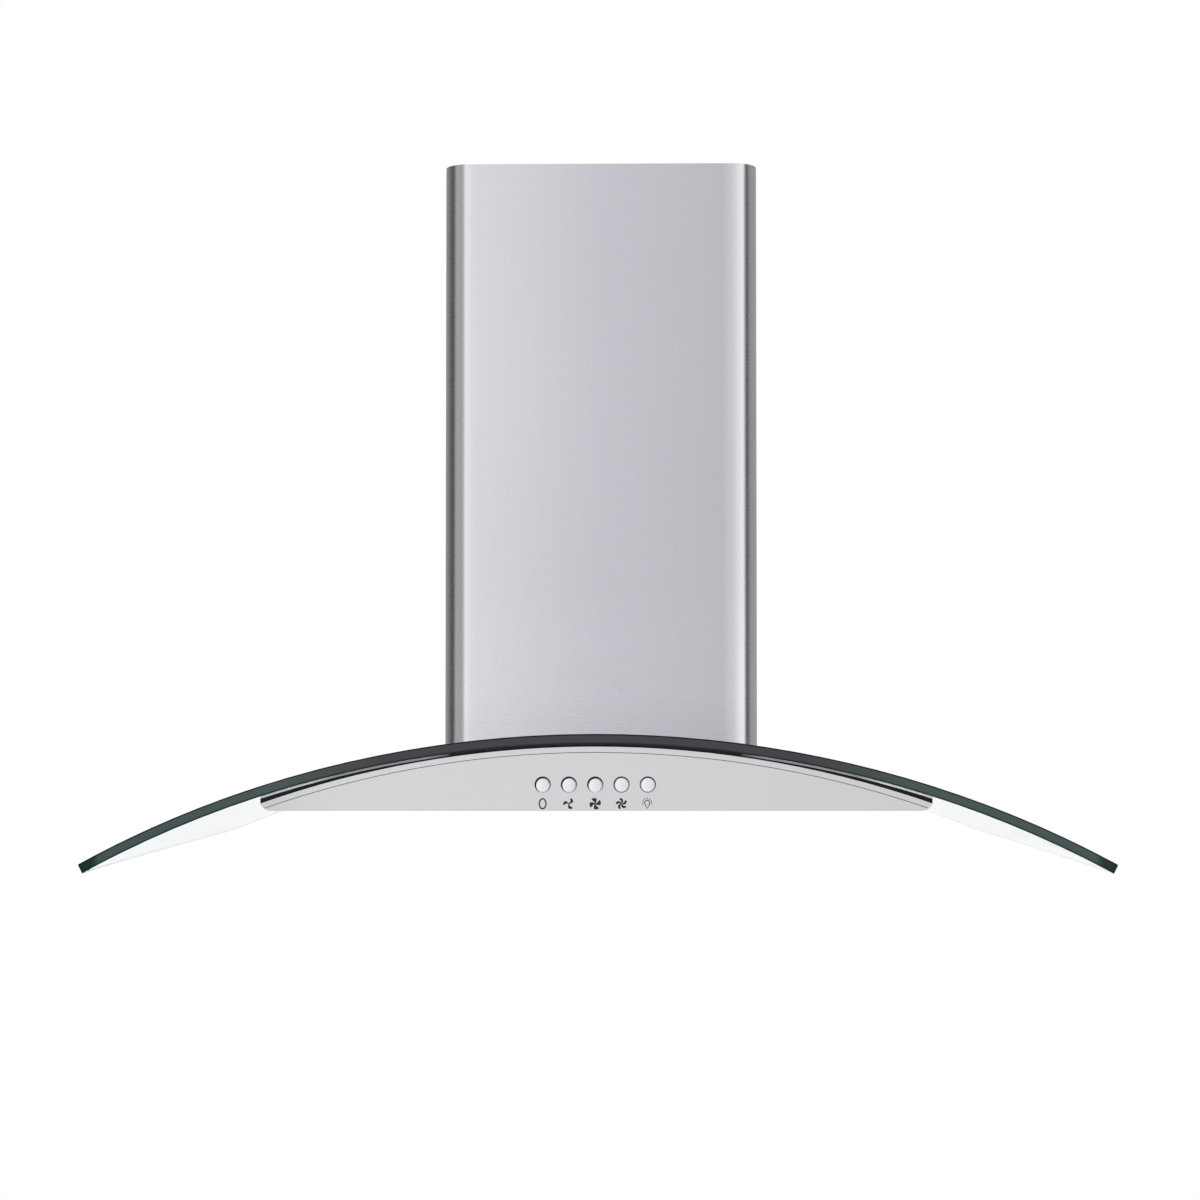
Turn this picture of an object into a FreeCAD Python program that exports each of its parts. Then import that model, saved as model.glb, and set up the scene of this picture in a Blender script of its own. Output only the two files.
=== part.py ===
import FreeCAD
import Part
import math
import os

# Wall range hood: an arched glass canopy on a low steel body with five push buttons,
# a blower in a box above it, and a two-part chimney that hides the blower and the duct.
# Lengths are millimetres. X is to the right, the front faces -Y and Z is up.
# The origin is on the wall, on the centre line, level with the underside of the body.

# Glass canopy, bent to one radius across the hood and cut with a bowed front
glass_width = 901.85
glass_side_taper = 73.9
glass_corner_depth = 430.0
glass_front_bow = 50.0
glass_thickness = 8.6
glass_side_gap = 5.9
glass_radius = 960.0
glass_wall_gap = 8.0
glass_rear_corner = 35.0
glass_tip_corner = 5.0
glass_arris = 0.5
glass_notch_gap = 6.0
glass_notch_corner = 12.0
glass_bolt_side_inset = 78.0
glass_bolt_front_inset = 130.0
glass_bolt_rear = 100.0
glass_bolt_radius = 4.0
glass_bolt_head_radius = 10.0
glass_bolt_head_height = 4.5
glass_bolt_head_round = 3.0
glass_bolt_nut_radius = 7.0
glass_bolt_nut_height = 5.0
glass_bolt_tail = 2.0
pad_radius = 14.0

# Steel body under the glass: a flat base, low sides and an arched deck
body_width = 576.0
body_side_height = 6.2
body_corner = 9.0
sheet = 1.0
side_flange = 3.0
back_sheet = 1.2

# Curved control front with a bright trim strip along its top edge
front_sheet = 1.2
front_setback = 5.0
trim_height = 4.65
trim_seam = 0.5
trim_proud = 0.7
trim_flange = 4.0
seal_thickness = 2.15
seal_setback = 1.2
seal_width = 9.0
rail_chimney_overlap = 22.0
rail_thickness = 1.6
rail_setback = 0.5

# Push buttons in the front
button_pitch = 22.35
button_below_middle = 4.9
button_droops = (0.65, 0.65, 0.8, 0.25, 0.3)
button_radius = 5.75
button_hole_radius = 6.9
button_proud = 0.5
button_edge_round = 0.6
button_flange_radius = 7.6
button_flange_thickness = 1.5
button_stem_radius = 2.5
button_stem_length = 16.0
button_travel = 4.0
button_guide_gap = 0.35
button_stem_gap = 0.08
guide_depth = 6.0
guide_margin = 9.5
switch_depth = 30.0
switch_top_margin = 8.0
moving_gap = 0.3

# Grease filters that swing down out of the base on pins at their rear edge
filter_side_margin = 14.0
filter_front_margin = 146.0
filter_open_rear = 45.0
filter_bar = 20.0
filter_side_gap = 1.5
filter_thickness = 9.0
filter_rim = 14.0
filter_axis_inset = 9.0
filter_rear_overhang = 6.0
filter_mesh_thickness = 5.0
filter_mesh_columns = 11
filter_mesh_rows = 13
filter_mesh_web = 3.0
pivot_radius = 2.0
pivot_gap = 0.06
hook_thickness = 3.0
hook_gap = 0.5
hook_reach = 8.0
pull_width = 56.0
pull_depth = 9.0
pull_height = 6.0
pull_wall = 1.0
pull_lip = 3.0
stop_sheet = 1.5
stop_ledge = 13.0
stop_foot = 9.0
magnet_radius = 4.0
magnet_height = 4.0
magnet_side_inset = 88.0
magnet_inner_x = 60.0

# Two lamps in the base, between the front and the filters
lamp_side_inset = 98.0
lamp_front_inset = 77.0
lamp_barrel_radius = 30.0
lamp_flange_radius = 34.0
lamp_barrel = 8.0
lamp_wall = 1.5
lamp_lens_lip = 2.5
lamp_lens_thickness = 3.0
lamp_can_gap = 0.3
lamp_can_flange = 4.0
lamp_deck_gap = 1.2
bulb_mouth_radius = 23.0
bulb_base_radius = 10.0
bulb_base_height = 5.0
bulb_lens_gap = 3.0

# Blower box that stands on the deck inside the chimney
box_side_gap = 34.5
box_front_gap = 27.0
box_top = 330.0
box_flange = 18.0
box_flange_sheet = 1.2
deck_open_margin = 8.0
plate_thickness = 3.0
plate_side_overhang = 15.0
plate_rise = 9.5
plate_top_drop = 5.0
wall_hole_radius = 4.0
wall_hole_side_inset = 7.0
wall_hole_rise = 35.0
wall_hole_end_inset = 25.0
screw_radius = 2.0
screw_head_radius = 4.0
screw_head_height = 2.0
screw_row_front_inset = 20.0
screw_row_rear = 40.0

# Double inlet centrifugal blower with its shaft across the hood
fan_wall_gap = 10.0
impeller_radius = 60.0
blade_length = 10.0
blade_count = 32
blade_thickness = 0.9
blade_tilt = 35.0
impeller_half_length = 54.0
impeller_ring = 2.0
hub_radius = 11.0
hub_length = 20.0
scroll_gap = 5.0
scroll_step = 6.0
scroll_wall = 1.5
scroll_end_gap = 4.0
scroll_top_drop = 45.0
inlet_cover = 8.0
inlet_lip = 5.0
motor_blade_gap = 12.0
motor_length = 48.0
motor_hub_gap = 4.0
motor_round = 4.0
shaft_radius = 4.0
shaft_gap = 0.05
spider_thickness = 3.0
spider_arm = 8.0
spider_ring = 5.0
spider_hub_radius = 16.0
spider_arm_count = 3

# Round outlet with two non-return flaps
collar_radius = 75.0
collar_wall = 2.0
collar_flange = 7.0
collar_flange_thickness = 2.0
collar_height = 45.0
flap_axis_offset = 4.0
flap_axis_height = 22.0
flap_thickness = 1.2
flap_edge_gap = 0.6
flap_knuckle_radius = 3.0
flap_knuckle_inset = 15.0
flap_pin_radius = 1.5
flap_pin_gap = 0.05
flap_pin_inset = 0.6
flap_ledge = 3.0
flap_ledge_thickness = 1.5

# Mains connection box on the right side of the blower box
junction_width = 26.0
junction_depth = 70.0
junction_height = 100.0
junction_front_inset = 83.0
junction_fan_rise = 15.0
junction_wall = 1.5
capacitor_radius = 10.0
capacitor_length = 60.0
gland_radius = 8.0
gland_bore_radius = 4.0
gland_collar_radius = 10.0
gland_collar_height = 4.0
gland_length = 20.0

# Chimney: the fixed lower part and the upper part that slides up inside it
chimney_width = 293.0
chimney_front_gap = 31.5
chimney_corner = 23.0
chimney_top = 607.0
chimney_sheet = 1.0
chimney_flange = 14.0
chimney_seat_gap = 0.3
chimney_slide_gap = 0.6
upper_rise = 29.5
upper_top_drop = 3.0
foot_rise = 6.5
foot_height = 20.0
foot_sheet = 1.5
foot_front = 90.0
foot_depth = 40.0
ceiling_sheet = 2.0
ceiling_height = 26.0
ceiling_top_drop = 6.0
ceiling_side_gap = 18.9
ceiling_jog = 5.0
ceiling_tab = 36.0
ceiling_hole_radius = 2.5
ceiling_hole_spacing = 180.0
ceiling_tab_sheet = 1.5
pan_head_radius = 3.6
pan_head_height = 2.2

# One overrun for every cut that passes right through
overrun = 5.0

# Sizes and places that follow from the values above
half_glass = glass_width / 2
half_rear = half_glass - glass_side_taper
half_body = body_width / 2
half_chimney = chimney_width / 2
half_box = half_chimney - box_side_gap
glass_depth = glass_corner_depth + glass_front_bow
bow_radius = (half_glass ** 2 + glass_front_bow ** 2) / (2 * glass_front_bow)
bow_centre = bow_radius - glass_depth
glass_inner_radius = glass_radius - glass_thickness
glass_sag = glass_inner_radius - math.sqrt(glass_inner_radius ** 2 - half_body ** 2)
glass_crown = body_side_height + glass_side_gap + glass_sag + glass_thickness
glass_bolt_x = half_body - glass_bolt_side_inset
glass_bolt_front = glass_corner_depth - glass_bolt_front_inset
body_crown = glass_crown - glass_thickness - seal_thickness
body_rise = body_crown - body_side_height
body_radius = (half_body ** 2 + body_rise ** 2) / (2 * body_rise)
button_count = len(button_droops)
button_height = body_crown / 2 - button_below_middle
reach = glass_width
base_half = half_body - body_corner - side_flange
rail_start = half_chimney - rail_chimney_overlap
filter_open_width = base_half - filter_bar / 2 - filter_side_margin
filter_open_depth = glass_depth - front_setback - filter_front_margin - filter_open_rear
magnet_outer_x = half_body - magnet_side_inset
lamp_x = half_body - lamp_side_inset
lamp_depth = glass_depth - front_setback - lamp_front_inset
scroll_start_radius = impeller_radius + scroll_gap
scroll_top = box_top - scroll_top_drop
inlet_radius = impeller_radius - inlet_cover
motor_radius = impeller_radius - blade_length - motor_blade_gap
fan_depth = scroll_start_radius + fan_wall_gap
fan_height = box_top / 2
scroll_half = impeller_half_length + scroll_end_gap
throat = scroll_start_radius + 3 * scroll_step
collar_y = -fan_depth - throat / 2
collar_top = box_top + collar_height
chimney_depth = collar_radius + collar_flange + chimney_front_gap - collar_y
box_depth = chimney_depth - plate_thickness - box_front_gap
screw_row_front = box_depth - screw_row_front_inset
screw_row_middle = (screw_row_front + screw_row_rear) / 2
plate_width = 2 * (half_box + plate_side_overhang)
plate_bottom = glass_crown + plate_rise
plate_top = box_top - plate_top_drop
wall_hole_z = fan_height + wall_hole_rise
wall_hole_spacing_x = plate_width - 2 * wall_hole_side_inset
wall_hole_spacing_z = 2 * (plate_top - wall_hole_end_inset - wall_hole_z)
flap_z = box_top + flap_axis_height
flap_knuckle_half = collar_radius - flap_knuckle_inset
junction_front = plate_thickness + box_depth - junction_front_inset
junction_bottom = fan_height + junction_fan_rise
filter_axis_y = -filter_open_rear - filter_axis_inset
filter_axis_z = filter_thickness / 2
filter_front_y = -filter_open_rear - filter_open_depth + filter_side_gap
notch_front = plate_thickness + box_depth + glass_notch_gap
notch_half = half_box + glass_notch_gap
upper_step = chimney_sheet + chimney_slide_gap
upper_half = half_chimney - upper_step
upper_bottom = glass_crown + upper_rise
foot_bottom = glass_crown + foot_rise
upper_top = chimney_top - upper_top_drop
ceiling_top = upper_top - ceiling_top_drop
ceiling_half_width = upper_half - ceiling_side_gap
sides = (-1, 1)
side_names = {-1: "left", 1: "right"}
nodes = {}


def at(x, y, z):
    return FreeCAD.Vector(x, y, z)


def block(x, y, z):
    """Box between the low and high values of each axis."""
    return Part.makeBox(x[1] - x[0], y[1] - y[0], z[1] - z[0], at(x[0], y[0], z[0]))


def across(half, y, z):
    """Box centred on the middle of the hood."""
    return block((-half, half), y, z)


def span(side, near, far):
    """Low and high X of a piece between two distances from the middle."""
    return (near, far) if side > 0 else (-far, -near)


def rod(radius, start, end):
    axis = end.sub(start)
    return Part.makeCylinder(radius, axis.Length, start, axis)


def tube(outer, inner, start, end):
    return rod(outer, start, end).cut(rod(inner, start, end))


def edges_near(shape, x, y, length):
    """Edges shorter than a length whose middle stands near a place in plan."""
    found = []
    for edge in shape.Edges:
        middle = edge.CenterOfMass
        if edge.Length < length and abs(abs(middle.x) - x) < length and abs(middle.y - y) < length:
            found.append(edge)
    return found


def upright_edges(shape, y):
    """Vertical edges of a box at one Y."""
    found = []
    for edge in shape.Edges:
        low, high = edge.Vertexes[0].Point, edge.Vertexes[-1].Point
        if abs(low.x - high.x) + abs(low.y - high.y) < sheet and abs(low.y - y) < sheet:
            found.append(edge)
    return found


def joined(pieces):
    """One solid from pieces that touch or overlap."""
    whole = pieces[0].multiFuse(pieces[1:])
    return whole.removeSplitter()


def only_solid(shape):
    """The solid inside a boolean's result."""
    solids = shape.Solids
    return solids[0] if len(solids) == 1 else Part.makeCompound(solids)


def add(name, shape):
    nodes[name] = only_solid(shape)


def arch(crown, radius):
    """Everything under an arch that runs from front to back."""
    return rod(radius, at(0, -reach, crown - radius), at(0, reach, crown - radius))


def body_arch(drop):
    """The body's arch, moved inward by a drop or outward by a negative one."""
    return arch(body_crown - drop, body_radius - drop)


def glass_arch(drop):
    return arch(glass_crown - drop, glass_radius - drop)


def behind_bow(setback):
    """Everything behind the bowed front line, moved back by a setback."""
    return rod(bow_radius - setback, at(0, bow_centre, -reach), at(0, bow_centre, reach))


def bow_y(x, setback):
    """Y of the bowed front line at a distance from the middle."""
    return bow_centre - math.sqrt((bow_radius - setback) ** 2 - x ** 2)


def arch_z(x, crown, radius):
    return crown - radius + math.sqrt(radius ** 2 - x ** 2)


def body_core(inset):
    """The body's section, moved inward by an inset, over its whole depth."""
    half = half_body - inset
    core = across(half, (-glass_depth, 0), (inset, body_crown))
    corners = [edge for edge in core.Edges
               if edge.Length > body_width / 2 and abs(edge.CenterOfMass.z - inset) < sheet
               and abs(abs(edge.CenterOfMass.x) - half) < sheet]
    long_corners = [edge for edge in corners if abs(edge.CenterOfMass.y + glass_depth / 2) < sheet]
    return core.makeFillet(body_corner - inset, long_corners).common(body_arch(inset))


def side_cutter(side):
    """Wedge that trims the glass square to its surface along one slanted side."""
    front = at(side * half_glass, -glass_corner_depth, arch_z(half_glass, glass_crown, glass_radius))
    rear = at(side * half_rear, -glass_wall_gap, arch_z(half_rear, glass_crown, glass_radius))
    lean = math.asin(half_glass / glass_radius)
    inward = at(-side * math.sin(lean), 0, -math.cos(lean))
    along = rear.sub(front).normalize()
    outward = along.cross(inward)
    outward = outward * (side if outward.x > 0 else -side)
    far = glass_depth / 2
    front = front.sub(along * far)
    rear = rear.add(along * far)
    corners = [front.sub(inward * far), rear.sub(inward * far),
               rear.add(inward * far), front.add(inward * far)]
    face = Part.Face(Part.makePolygon(corners + corners[:1]))
    return face.extrude(outward.normalize() * glass_depth)


def glass_bolt_places():
    """Top of the glass and its outward direction at each bolt."""
    places = []
    for side in sides:
        for depth in (glass_bolt_front, glass_bolt_rear):
            lean = math.asin(glass_bolt_x / glass_radius)
            top = at(side * glass_bolt_x, -depth, arch_z(glass_bolt_x, glass_crown, glass_radius))
            places.append((top, at(side * math.sin(lean), 0, math.cos(lean))))
    return places


def make_glass():
    low = arch_z(half_glass, glass_crown, glass_radius) - 2 * glass_thickness
    slab = across(half_glass + glass_thickness, (-glass_depth, -glass_wall_gap), (low, glass_crown))
    glass = slab.common(glass_arch(0)).cut(glass_arch(glass_thickness)).common(behind_bow(0))
    for side in sides:
        glass = glass.cut(side_cutter(side))
    notch = across(notch_half, (-notch_front, 0), (0, glass_crown + overrun))
    notch = notch.makeFillet(glass_notch_corner, upright_edges(notch, -notch_front))
    glass = only_solid(glass.cut(notch))
    rear = edges_near(glass, half_rear, -glass_wall_gap, 2 * glass_thickness)
    glass = only_solid(glass.makeFillet(glass_rear_corner, rear))
    tips = edges_near(glass, half_glass, -glass_corner_depth, 2 * glass_thickness)
    glass = only_solid(glass.makeFillet(glass_tip_corner, tips))
    outline = []
    for edge in glass.Edges:
        faces = glass.ancestorsOfType(edge, Part.Face)
        skins = [face for face in faces if is_skin(face)]
        if len(skins) == 1:
            outline.append(edge)
    glass = only_solid(glass.makeFillet(glass_arris, outline))
    for top, outward in glass_bolt_places():
        under = top.sub(outward * 2 * glass_thickness)
        glass = glass.cut(rod(glass_bolt_radius, under, top.add(outward * overrun)))
    add("glass_canopy", glass)


def is_skin(face):
    """True for the glass's large top and bottom faces."""
    return isinstance(face.Surface, Part.Cylinder) and face.Surface.Radius in (
        glass_radius, glass_radius - glass_thickness) and abs(face.Surface.Axis.y) > abs(face.Surface.Axis.z)


def make_glass_fixings():
    pads, bolts = [], []
    for top, outward in glass_bolt_places():
        far = outward * (2 * glass_thickness + 2 * glass_bolt_head_height)
        pad = rod(pad_radius, top.sub(far), top).common(glass_arch(glass_thickness)).cut(body_arch(0))
        pads.append(pad.cut(rod(glass_bolt_radius, top.sub(far), top)))
        head = rod(glass_bolt_head_radius, top.sub(outward), top.add(outward * glass_bolt_head_height))
        rim = [edge for edge in head.Edges if edge.CenterOfMass.sub(top).dot(outward) > glass_bolt_head_round]
        head = head.makeFillet(glass_bolt_head_round, rim).cut(glass_arch(0))
        deck_gap = glass_crown - body_crown + sheet + glass_thickness
        tail = outward * (deck_gap + glass_bolt_nut_height + glass_bolt_tail)
        shank = rod(glass_bolt_radius, top.sub(tail), top.add(outward * sheet))
        nut = rod(glass_bolt_nut_radius, top.sub(outward * (deck_gap + glass_bolt_nut_height)), top)
        nut = nut.common(body_arch(sheet))
        bolts.append(joined([head, shank, nut]))
    add("glass_pads", Part.makeCompound(pads))
    add("glass_bolts", Part.makeCompound(bolts))


def screw_places():
    """Places of the small screws that hold the blower box on the deck."""
    rows = (screw_row_front, screw_row_middle, screw_row_rear)
    return [(side * (half_box + box_flange / 2), -row) for side in sides for row in rows]


def make_body():
    inside_front = behind_bow(front_setback + front_sheet)
    back = across(reach, (-back_sheet, 0), (-reach, reach))
    core = body_core(0).common(inside_front).cut(back)
    deck = core.cut(body_arch(sheet))
    intake_half = half_box - deck_open_margin
    intake = (-plate_thickness - box_depth + deck_open_margin, -plate_thickness - deck_open_margin)
    deck = deck.cut(across(intake_half, intake, (0, body_crown + overrun)))
    for top, outward in glass_bolt_places():
        deck = deck.cut(rod(glass_bolt_radius, top.sub(outward * body_crown), top))
    for x, y in screw_places():
        deck = deck.cut(rod(screw_radius, at(x, y, 0), at(x, y, body_crown + overrun)))
    add("top_deck", deck)

    skin = core.cut(body_core(sheet)).common(body_arch(sheet))
    for side in sides:
        flank = block(span(side, base_half, half_body + overrun), (-glass_depth, 0), (0, body_crown))
        add("side_panel_" + side_names[side], skin.common(flank))

    base = across(base_half, (-glass_depth, -back_sheet), (0, sheet)).common(inside_front)
    for side in sides:
        window = span(side, filter_bar / 2, filter_bar / 2 + filter_open_width)
        depth = (-filter_open_rear - filter_open_depth, -filter_open_rear)
        base = base.cut(block(window, depth, (-overrun, overrun)))
        x = side * lamp_x
        hole = lamp_flange_radius + lamp_can_gap
        base = base.cut(rod(hole, at(x, -lamp_depth, -overrun), at(x, -lamp_depth, overrun)))
    add("bottom_panel", base)
    add("back_panel", body_core(0).common(back))


def button_x(index):
    return (index - (button_count - 1) / 2) * button_pitch


def make_front():
    ring = behind_bow(front_setback).cut(behind_bow(front_setback + front_sheet))
    panel = body_core(0).common(ring).common(body_arch(trim_height + trim_seam))
    for index in range(button_count):
        x = button_x(index)
        before = at(x, -glass_depth, button_height)
        panel = panel.cut(rod(button_hole_radius, before, at(x, -glass_corner_depth, button_height)))
    add("front_panel", panel)

    face = body_core(0).cut(body_arch(trim_height))
    face = face.common(behind_bow(front_setback - trim_proud)).cut(behind_bow(front_setback + front_sheet))
    flange = body_core(sheet).cut(body_arch(trim_height + trim_seam + trim_flange))
    flange = flange.common(behind_bow(front_setback + front_sheet))
    flange = flange.cut(behind_bow(front_setback + 2 * front_sheet))
    root = body_core(sheet).cut(body_arch(trim_height))
    root = root.common(behind_bow(front_setback)).cut(behind_bow(front_setback + 2 * front_sheet))
    add("front_trim_strip", joined([only_solid(face), only_solid(flange), only_solid(root)]))

    inner_bow = behind_bow(front_setback + seal_setback + seal_width)
    seal = across(half_body, (-glass_depth, 0), (0, glass_crown)).common(glass_arch(glass_thickness))
    seal = seal.cut(body_arch(0)).common(behind_bow(front_setback + seal_setback)).cut(inner_bow)
    rails = []
    for side in sides:
        flank = block(span(side, rail_start, half_body), (-glass_depth, 0), (0, glass_crown))
        flank = flank.common(glass_arch(glass_thickness)).cut(glass_arch(glass_thickness + rail_thickness))
        seal = seal.cut(flank)
        rails.append(only_solid(flank.common(behind_bow(front_setback + rail_setback)).cut(inner_bow)))
    add("glass_seal", seal)
    add("glass_rails", Part.makeCompound(rails))


def make_buttons():
    z = button_height
    front = bow_y(0, front_setback)
    inner = front + front_sheet
    guide_back = inner + guide_depth
    guide_half = button_x(button_count - 1) + guide_margin
    guide_z = (z - guide_margin, z + guide_margin)
    guide = across(guide_half, (front, guide_back), guide_z).common(behind_bow(front_setback + front_sheet))
    flange_front = guide_back + moving_gap
    flange_back = flange_front + button_flange_thickness
    switch_front = flange_back + button_travel + moving_gap
    switch_back = switch_front + switch_depth
    switch_z = (sheet, z + guide_margin + switch_top_margin)
    switch = across(guide_half, (switch_front, switch_back), switch_z)
    stem_end = flange_front + button_stem_length
    bore_end = stem_end + button_travel + moving_gap
    for index, droop in enumerate(button_droops):
        x = button_x(index)
        low = z - droop
        guide = guide.cut(rod(button_radius + button_guide_gap, at(x, front, low), at(x, guide_back, low)))
        bore = rod(button_stem_radius + button_stem_gap, at(x, switch_front, low), at(x, bore_end, low))
        switch = switch.cut(bore)
        face = bow_y(x, front_setback) - button_proud
        cap = rod(button_radius, at(x, face, low), at(x, flange_front, low))
        rim = [edge for edge in cap.Edges if edge.CenterOfMass.y < face + button_edge_round]
        cap = cap.makeFillet(button_edge_round, rim)
        flange = rod(button_flange_radius, at(x, flange_front, low), at(x, flange_back, low))
        stem = rod(button_stem_radius, at(x, flange_front, low), at(x, stem_end, low))
        add("button_%d" % (index + 1), joined([cap, flange, stem]))
    add("button_guide", guide)
    add("switch_block", switch)


def make_filter(side):
    name = side_names[side]
    near = filter_bar / 2 + filter_side_gap
    far = near + filter_open_width - 2 * filter_side_gap
    rear = filter_axis_y + filter_rear_overhang
    outer = block(span(side, near, far), (filter_front_y, rear), (0, filter_thickness))
    window_x = span(side, near + filter_rim, far - filter_rim)
    window_y = (filter_front_y + filter_rim, rear - filter_rim)
    frame = outer.cut(block(window_x, window_y, (-overrun, filter_thickness + overrun)))
    pins = []
    for start, end in ((near, near - filter_side_gap - hook_gap - hook_thickness),
                       (far, far + filter_side_gap + hook_gap + hook_thickness)):
        inner = at(side * start, filter_axis_y, filter_axis_z)
        pins.append(rod(pivot_radius, inner, at(side * end, filter_axis_y, filter_axis_z)))
    middle = side * (near + far) / 2
    cup_x = (middle - pull_width / 2, middle + pull_width / 2)
    cup_front = filter_front_y + (filter_rim - pull_depth) / 2
    cup_y = (cup_front, cup_front + pull_depth)
    cup = block(cup_x, cup_y, (0, pull_height))
    frame = joined([frame.cut(cup)] + pins)
    add("filter_frame_" + name, frame)
    hollow = block((cup_x[0] + pull_wall, cup_x[1] - pull_wall),
                   (cup_y[0] + pull_wall, cup_y[1] - pull_wall),
                   (-overrun, pull_height - pull_wall))
    lip = block(cup_x, (cup_y[0], cup_y[0] + pull_lip), (0, pull_wall))
    add("filter_pull_" + name, joined([cup.cut(hollow), lip]))
    mesh_z = (filter_axis_z - filter_mesh_thickness / 2, filter_axis_z + filter_mesh_thickness / 2)
    mesh = block(window_x, window_y, mesh_z)
    pitch_x = (window_x[1] - window_x[0] - filter_mesh_web) / filter_mesh_columns
    pitch_y = (window_y[1] - window_y[0] - filter_mesh_web) / filter_mesh_rows
    cells = []
    for column in range(filter_mesh_columns):
        for row in range(filter_mesh_rows):
            x = window_x[0] + filter_mesh_web + column * pitch_x
            y = window_y[0] + filter_mesh_web + row * pitch_y
            cells.append(block((x, x + pitch_x - filter_mesh_web),
                               (y, y + pitch_y - filter_mesh_web), mesh_z))
    add("filter_mesh_" + name, mesh.cut(Part.makeCompound(cells)))


def make_filter_mounts():
    hooks = []
    opening_near = filter_bar / 2
    opening_far = opening_near + filter_open_width
    bore = pivot_radius + pivot_gap
    for side in sides:
        for edge, way in ((opening_near, -1), (opening_far, 1)):
            near = edge + way * hook_gap
            far = near + way * hook_thickness
            hook = block(span(side, min(near, far), max(near, far)),
                         (filter_axis_y - hook_reach, filter_axis_y + hook_reach),
                         (sheet, filter_axis_z + hook_reach / 2))
            hole = rod(bore, at(side * min(near, far), filter_axis_y, filter_axis_z),
                       at(side * max(near, far), filter_axis_y, filter_axis_z))
            hooks.append(hook.cut(hole))
    add("filter_hooks", Part.makeCompound(hooks))

    front = -filter_open_rear - filter_open_depth
    ledge_z = (filter_thickness + moving_gap, filter_thickness + moving_gap + stop_sheet)
    web = (front - 2 * stop_sheet, front - stop_sheet)
    rail = joined([across(opening_far, web, (sheet, ledge_z[1])),
                   across(opening_far, (web[0], web[0] + stop_ledge), ledge_z),
                   across(opening_far, (web[1] - stop_foot, web[1]), (sheet, sheet + stop_sheet))])
    magnets = []
    magnet_y = web[0] + stop_ledge - magnet_radius - stop_sheet
    for side in sides:
        for x in (magnet_inner_x, magnet_outer_x):
            low = at(side * x, magnet_y, ledge_z[0])
            magnet = rod(magnet_radius, low, at(side * x, magnet_y, ledge_z[0] + magnet_height))
            rail = rail.cut(magnet)
            magnets.append(magnet)
    add("filter_stop_rail", rail)
    add("filter_magnets", Part.makeCompound(magnets))


def make_lamps():
    cans, bulbs = [], []
    for side in sides:
        centre = side * lamp_x
        y = -lamp_depth

        def level(z):
            return at(centre, y, z)

        barrel = lamp_barrel_radius - lamp_wall
        bezel = joined([tube(lamp_flange_radius, barrel - lamp_lens_lip, level(0), level(sheet)),
                        tube(lamp_barrel_radius, barrel, level(0), level(lamp_barrel))])
        add("lamp_bezel_" + side_names[side], bezel)
        lens_top = sheet + lamp_lens_thickness
        add("lamp_lens_" + side_names[side], rod(barrel, level(sheet), level(lens_top)))
        bore = lamp_barrel_radius + lamp_can_gap
        deck_under = arch_z(lamp_x + bore + lamp_wall, body_crown - sheet, body_radius - sheet)
        can_top = deck_under - lamp_deck_gap
        ledge = rod(lamp_flange_radius + lamp_can_flange, level(sheet), level(2 * sheet))
        can = joined([rod(bore + lamp_wall, level(sheet), level(can_top)), ledge])
        cans.append(can.cut(rod(bore, level(sheet), level(can_top - lamp_wall))))
        mouth = lens_top + bulb_lens_gap
        base = can_top - lamp_wall - bulb_base_height
        shade = Part.makeCone(bulb_mouth_radius, bulb_base_radius, base - mouth, level(mouth))
        bulbs.append(joined([shade, rod(bulb_base_radius, level(base), level(can_top - lamp_wall))]))
    add("lamp_cans", Part.makeCompound(cans))
    add("lamp_bulbs", Part.makeCompound(bulbs))


def make_blower_box():
    box_y = (-plate_thickness - box_depth, -plate_thickness)
    shell = across(half_box, box_y, (0, box_top))
    inner_y = (box_y[0] + sheet, box_y[1] - sheet)
    shell = shell.cut(across(half_box - sheet, inner_y, (-overrun, box_top - sheet)))
    bore = collar_radius - collar_wall
    shell = shell.cut(rod(bore, at(0, collar_y, box_top - overrun), at(0, collar_y, box_top + overrun)))
    foot_y = (box_y[0] - box_flange, box_y[1])
    foot = across(half_box + box_flange, foot_y, (0, body_crown + box_flange_sheet))
    foot = foot.common(body_arch(-box_flange_sheet)).cut(across(half_box - sheet, inner_y, (0, glass_crown)))
    box = joined([shell, foot]).cut(body_arch(0))
    for x, y in screw_places():
        box = box.cut(rod(screw_radius, at(x, y, 0), at(x, y, body_crown + overrun)))
    add("blower_box", box)

    plate = across(plate_width / 2, (-plate_thickness, 0), (plate_bottom, plate_top))
    for x in (-wall_hole_spacing_x / 2, wall_hole_spacing_x / 2):
        for z in (wall_hole_z - wall_hole_spacing_z / 2, wall_hole_z + wall_hole_spacing_z / 2):
            plate = plate.cut(rod(wall_hole_radius, at(x, -overrun, z), at(x, overrun, z)))
    add("mounting_plate", plate)


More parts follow.
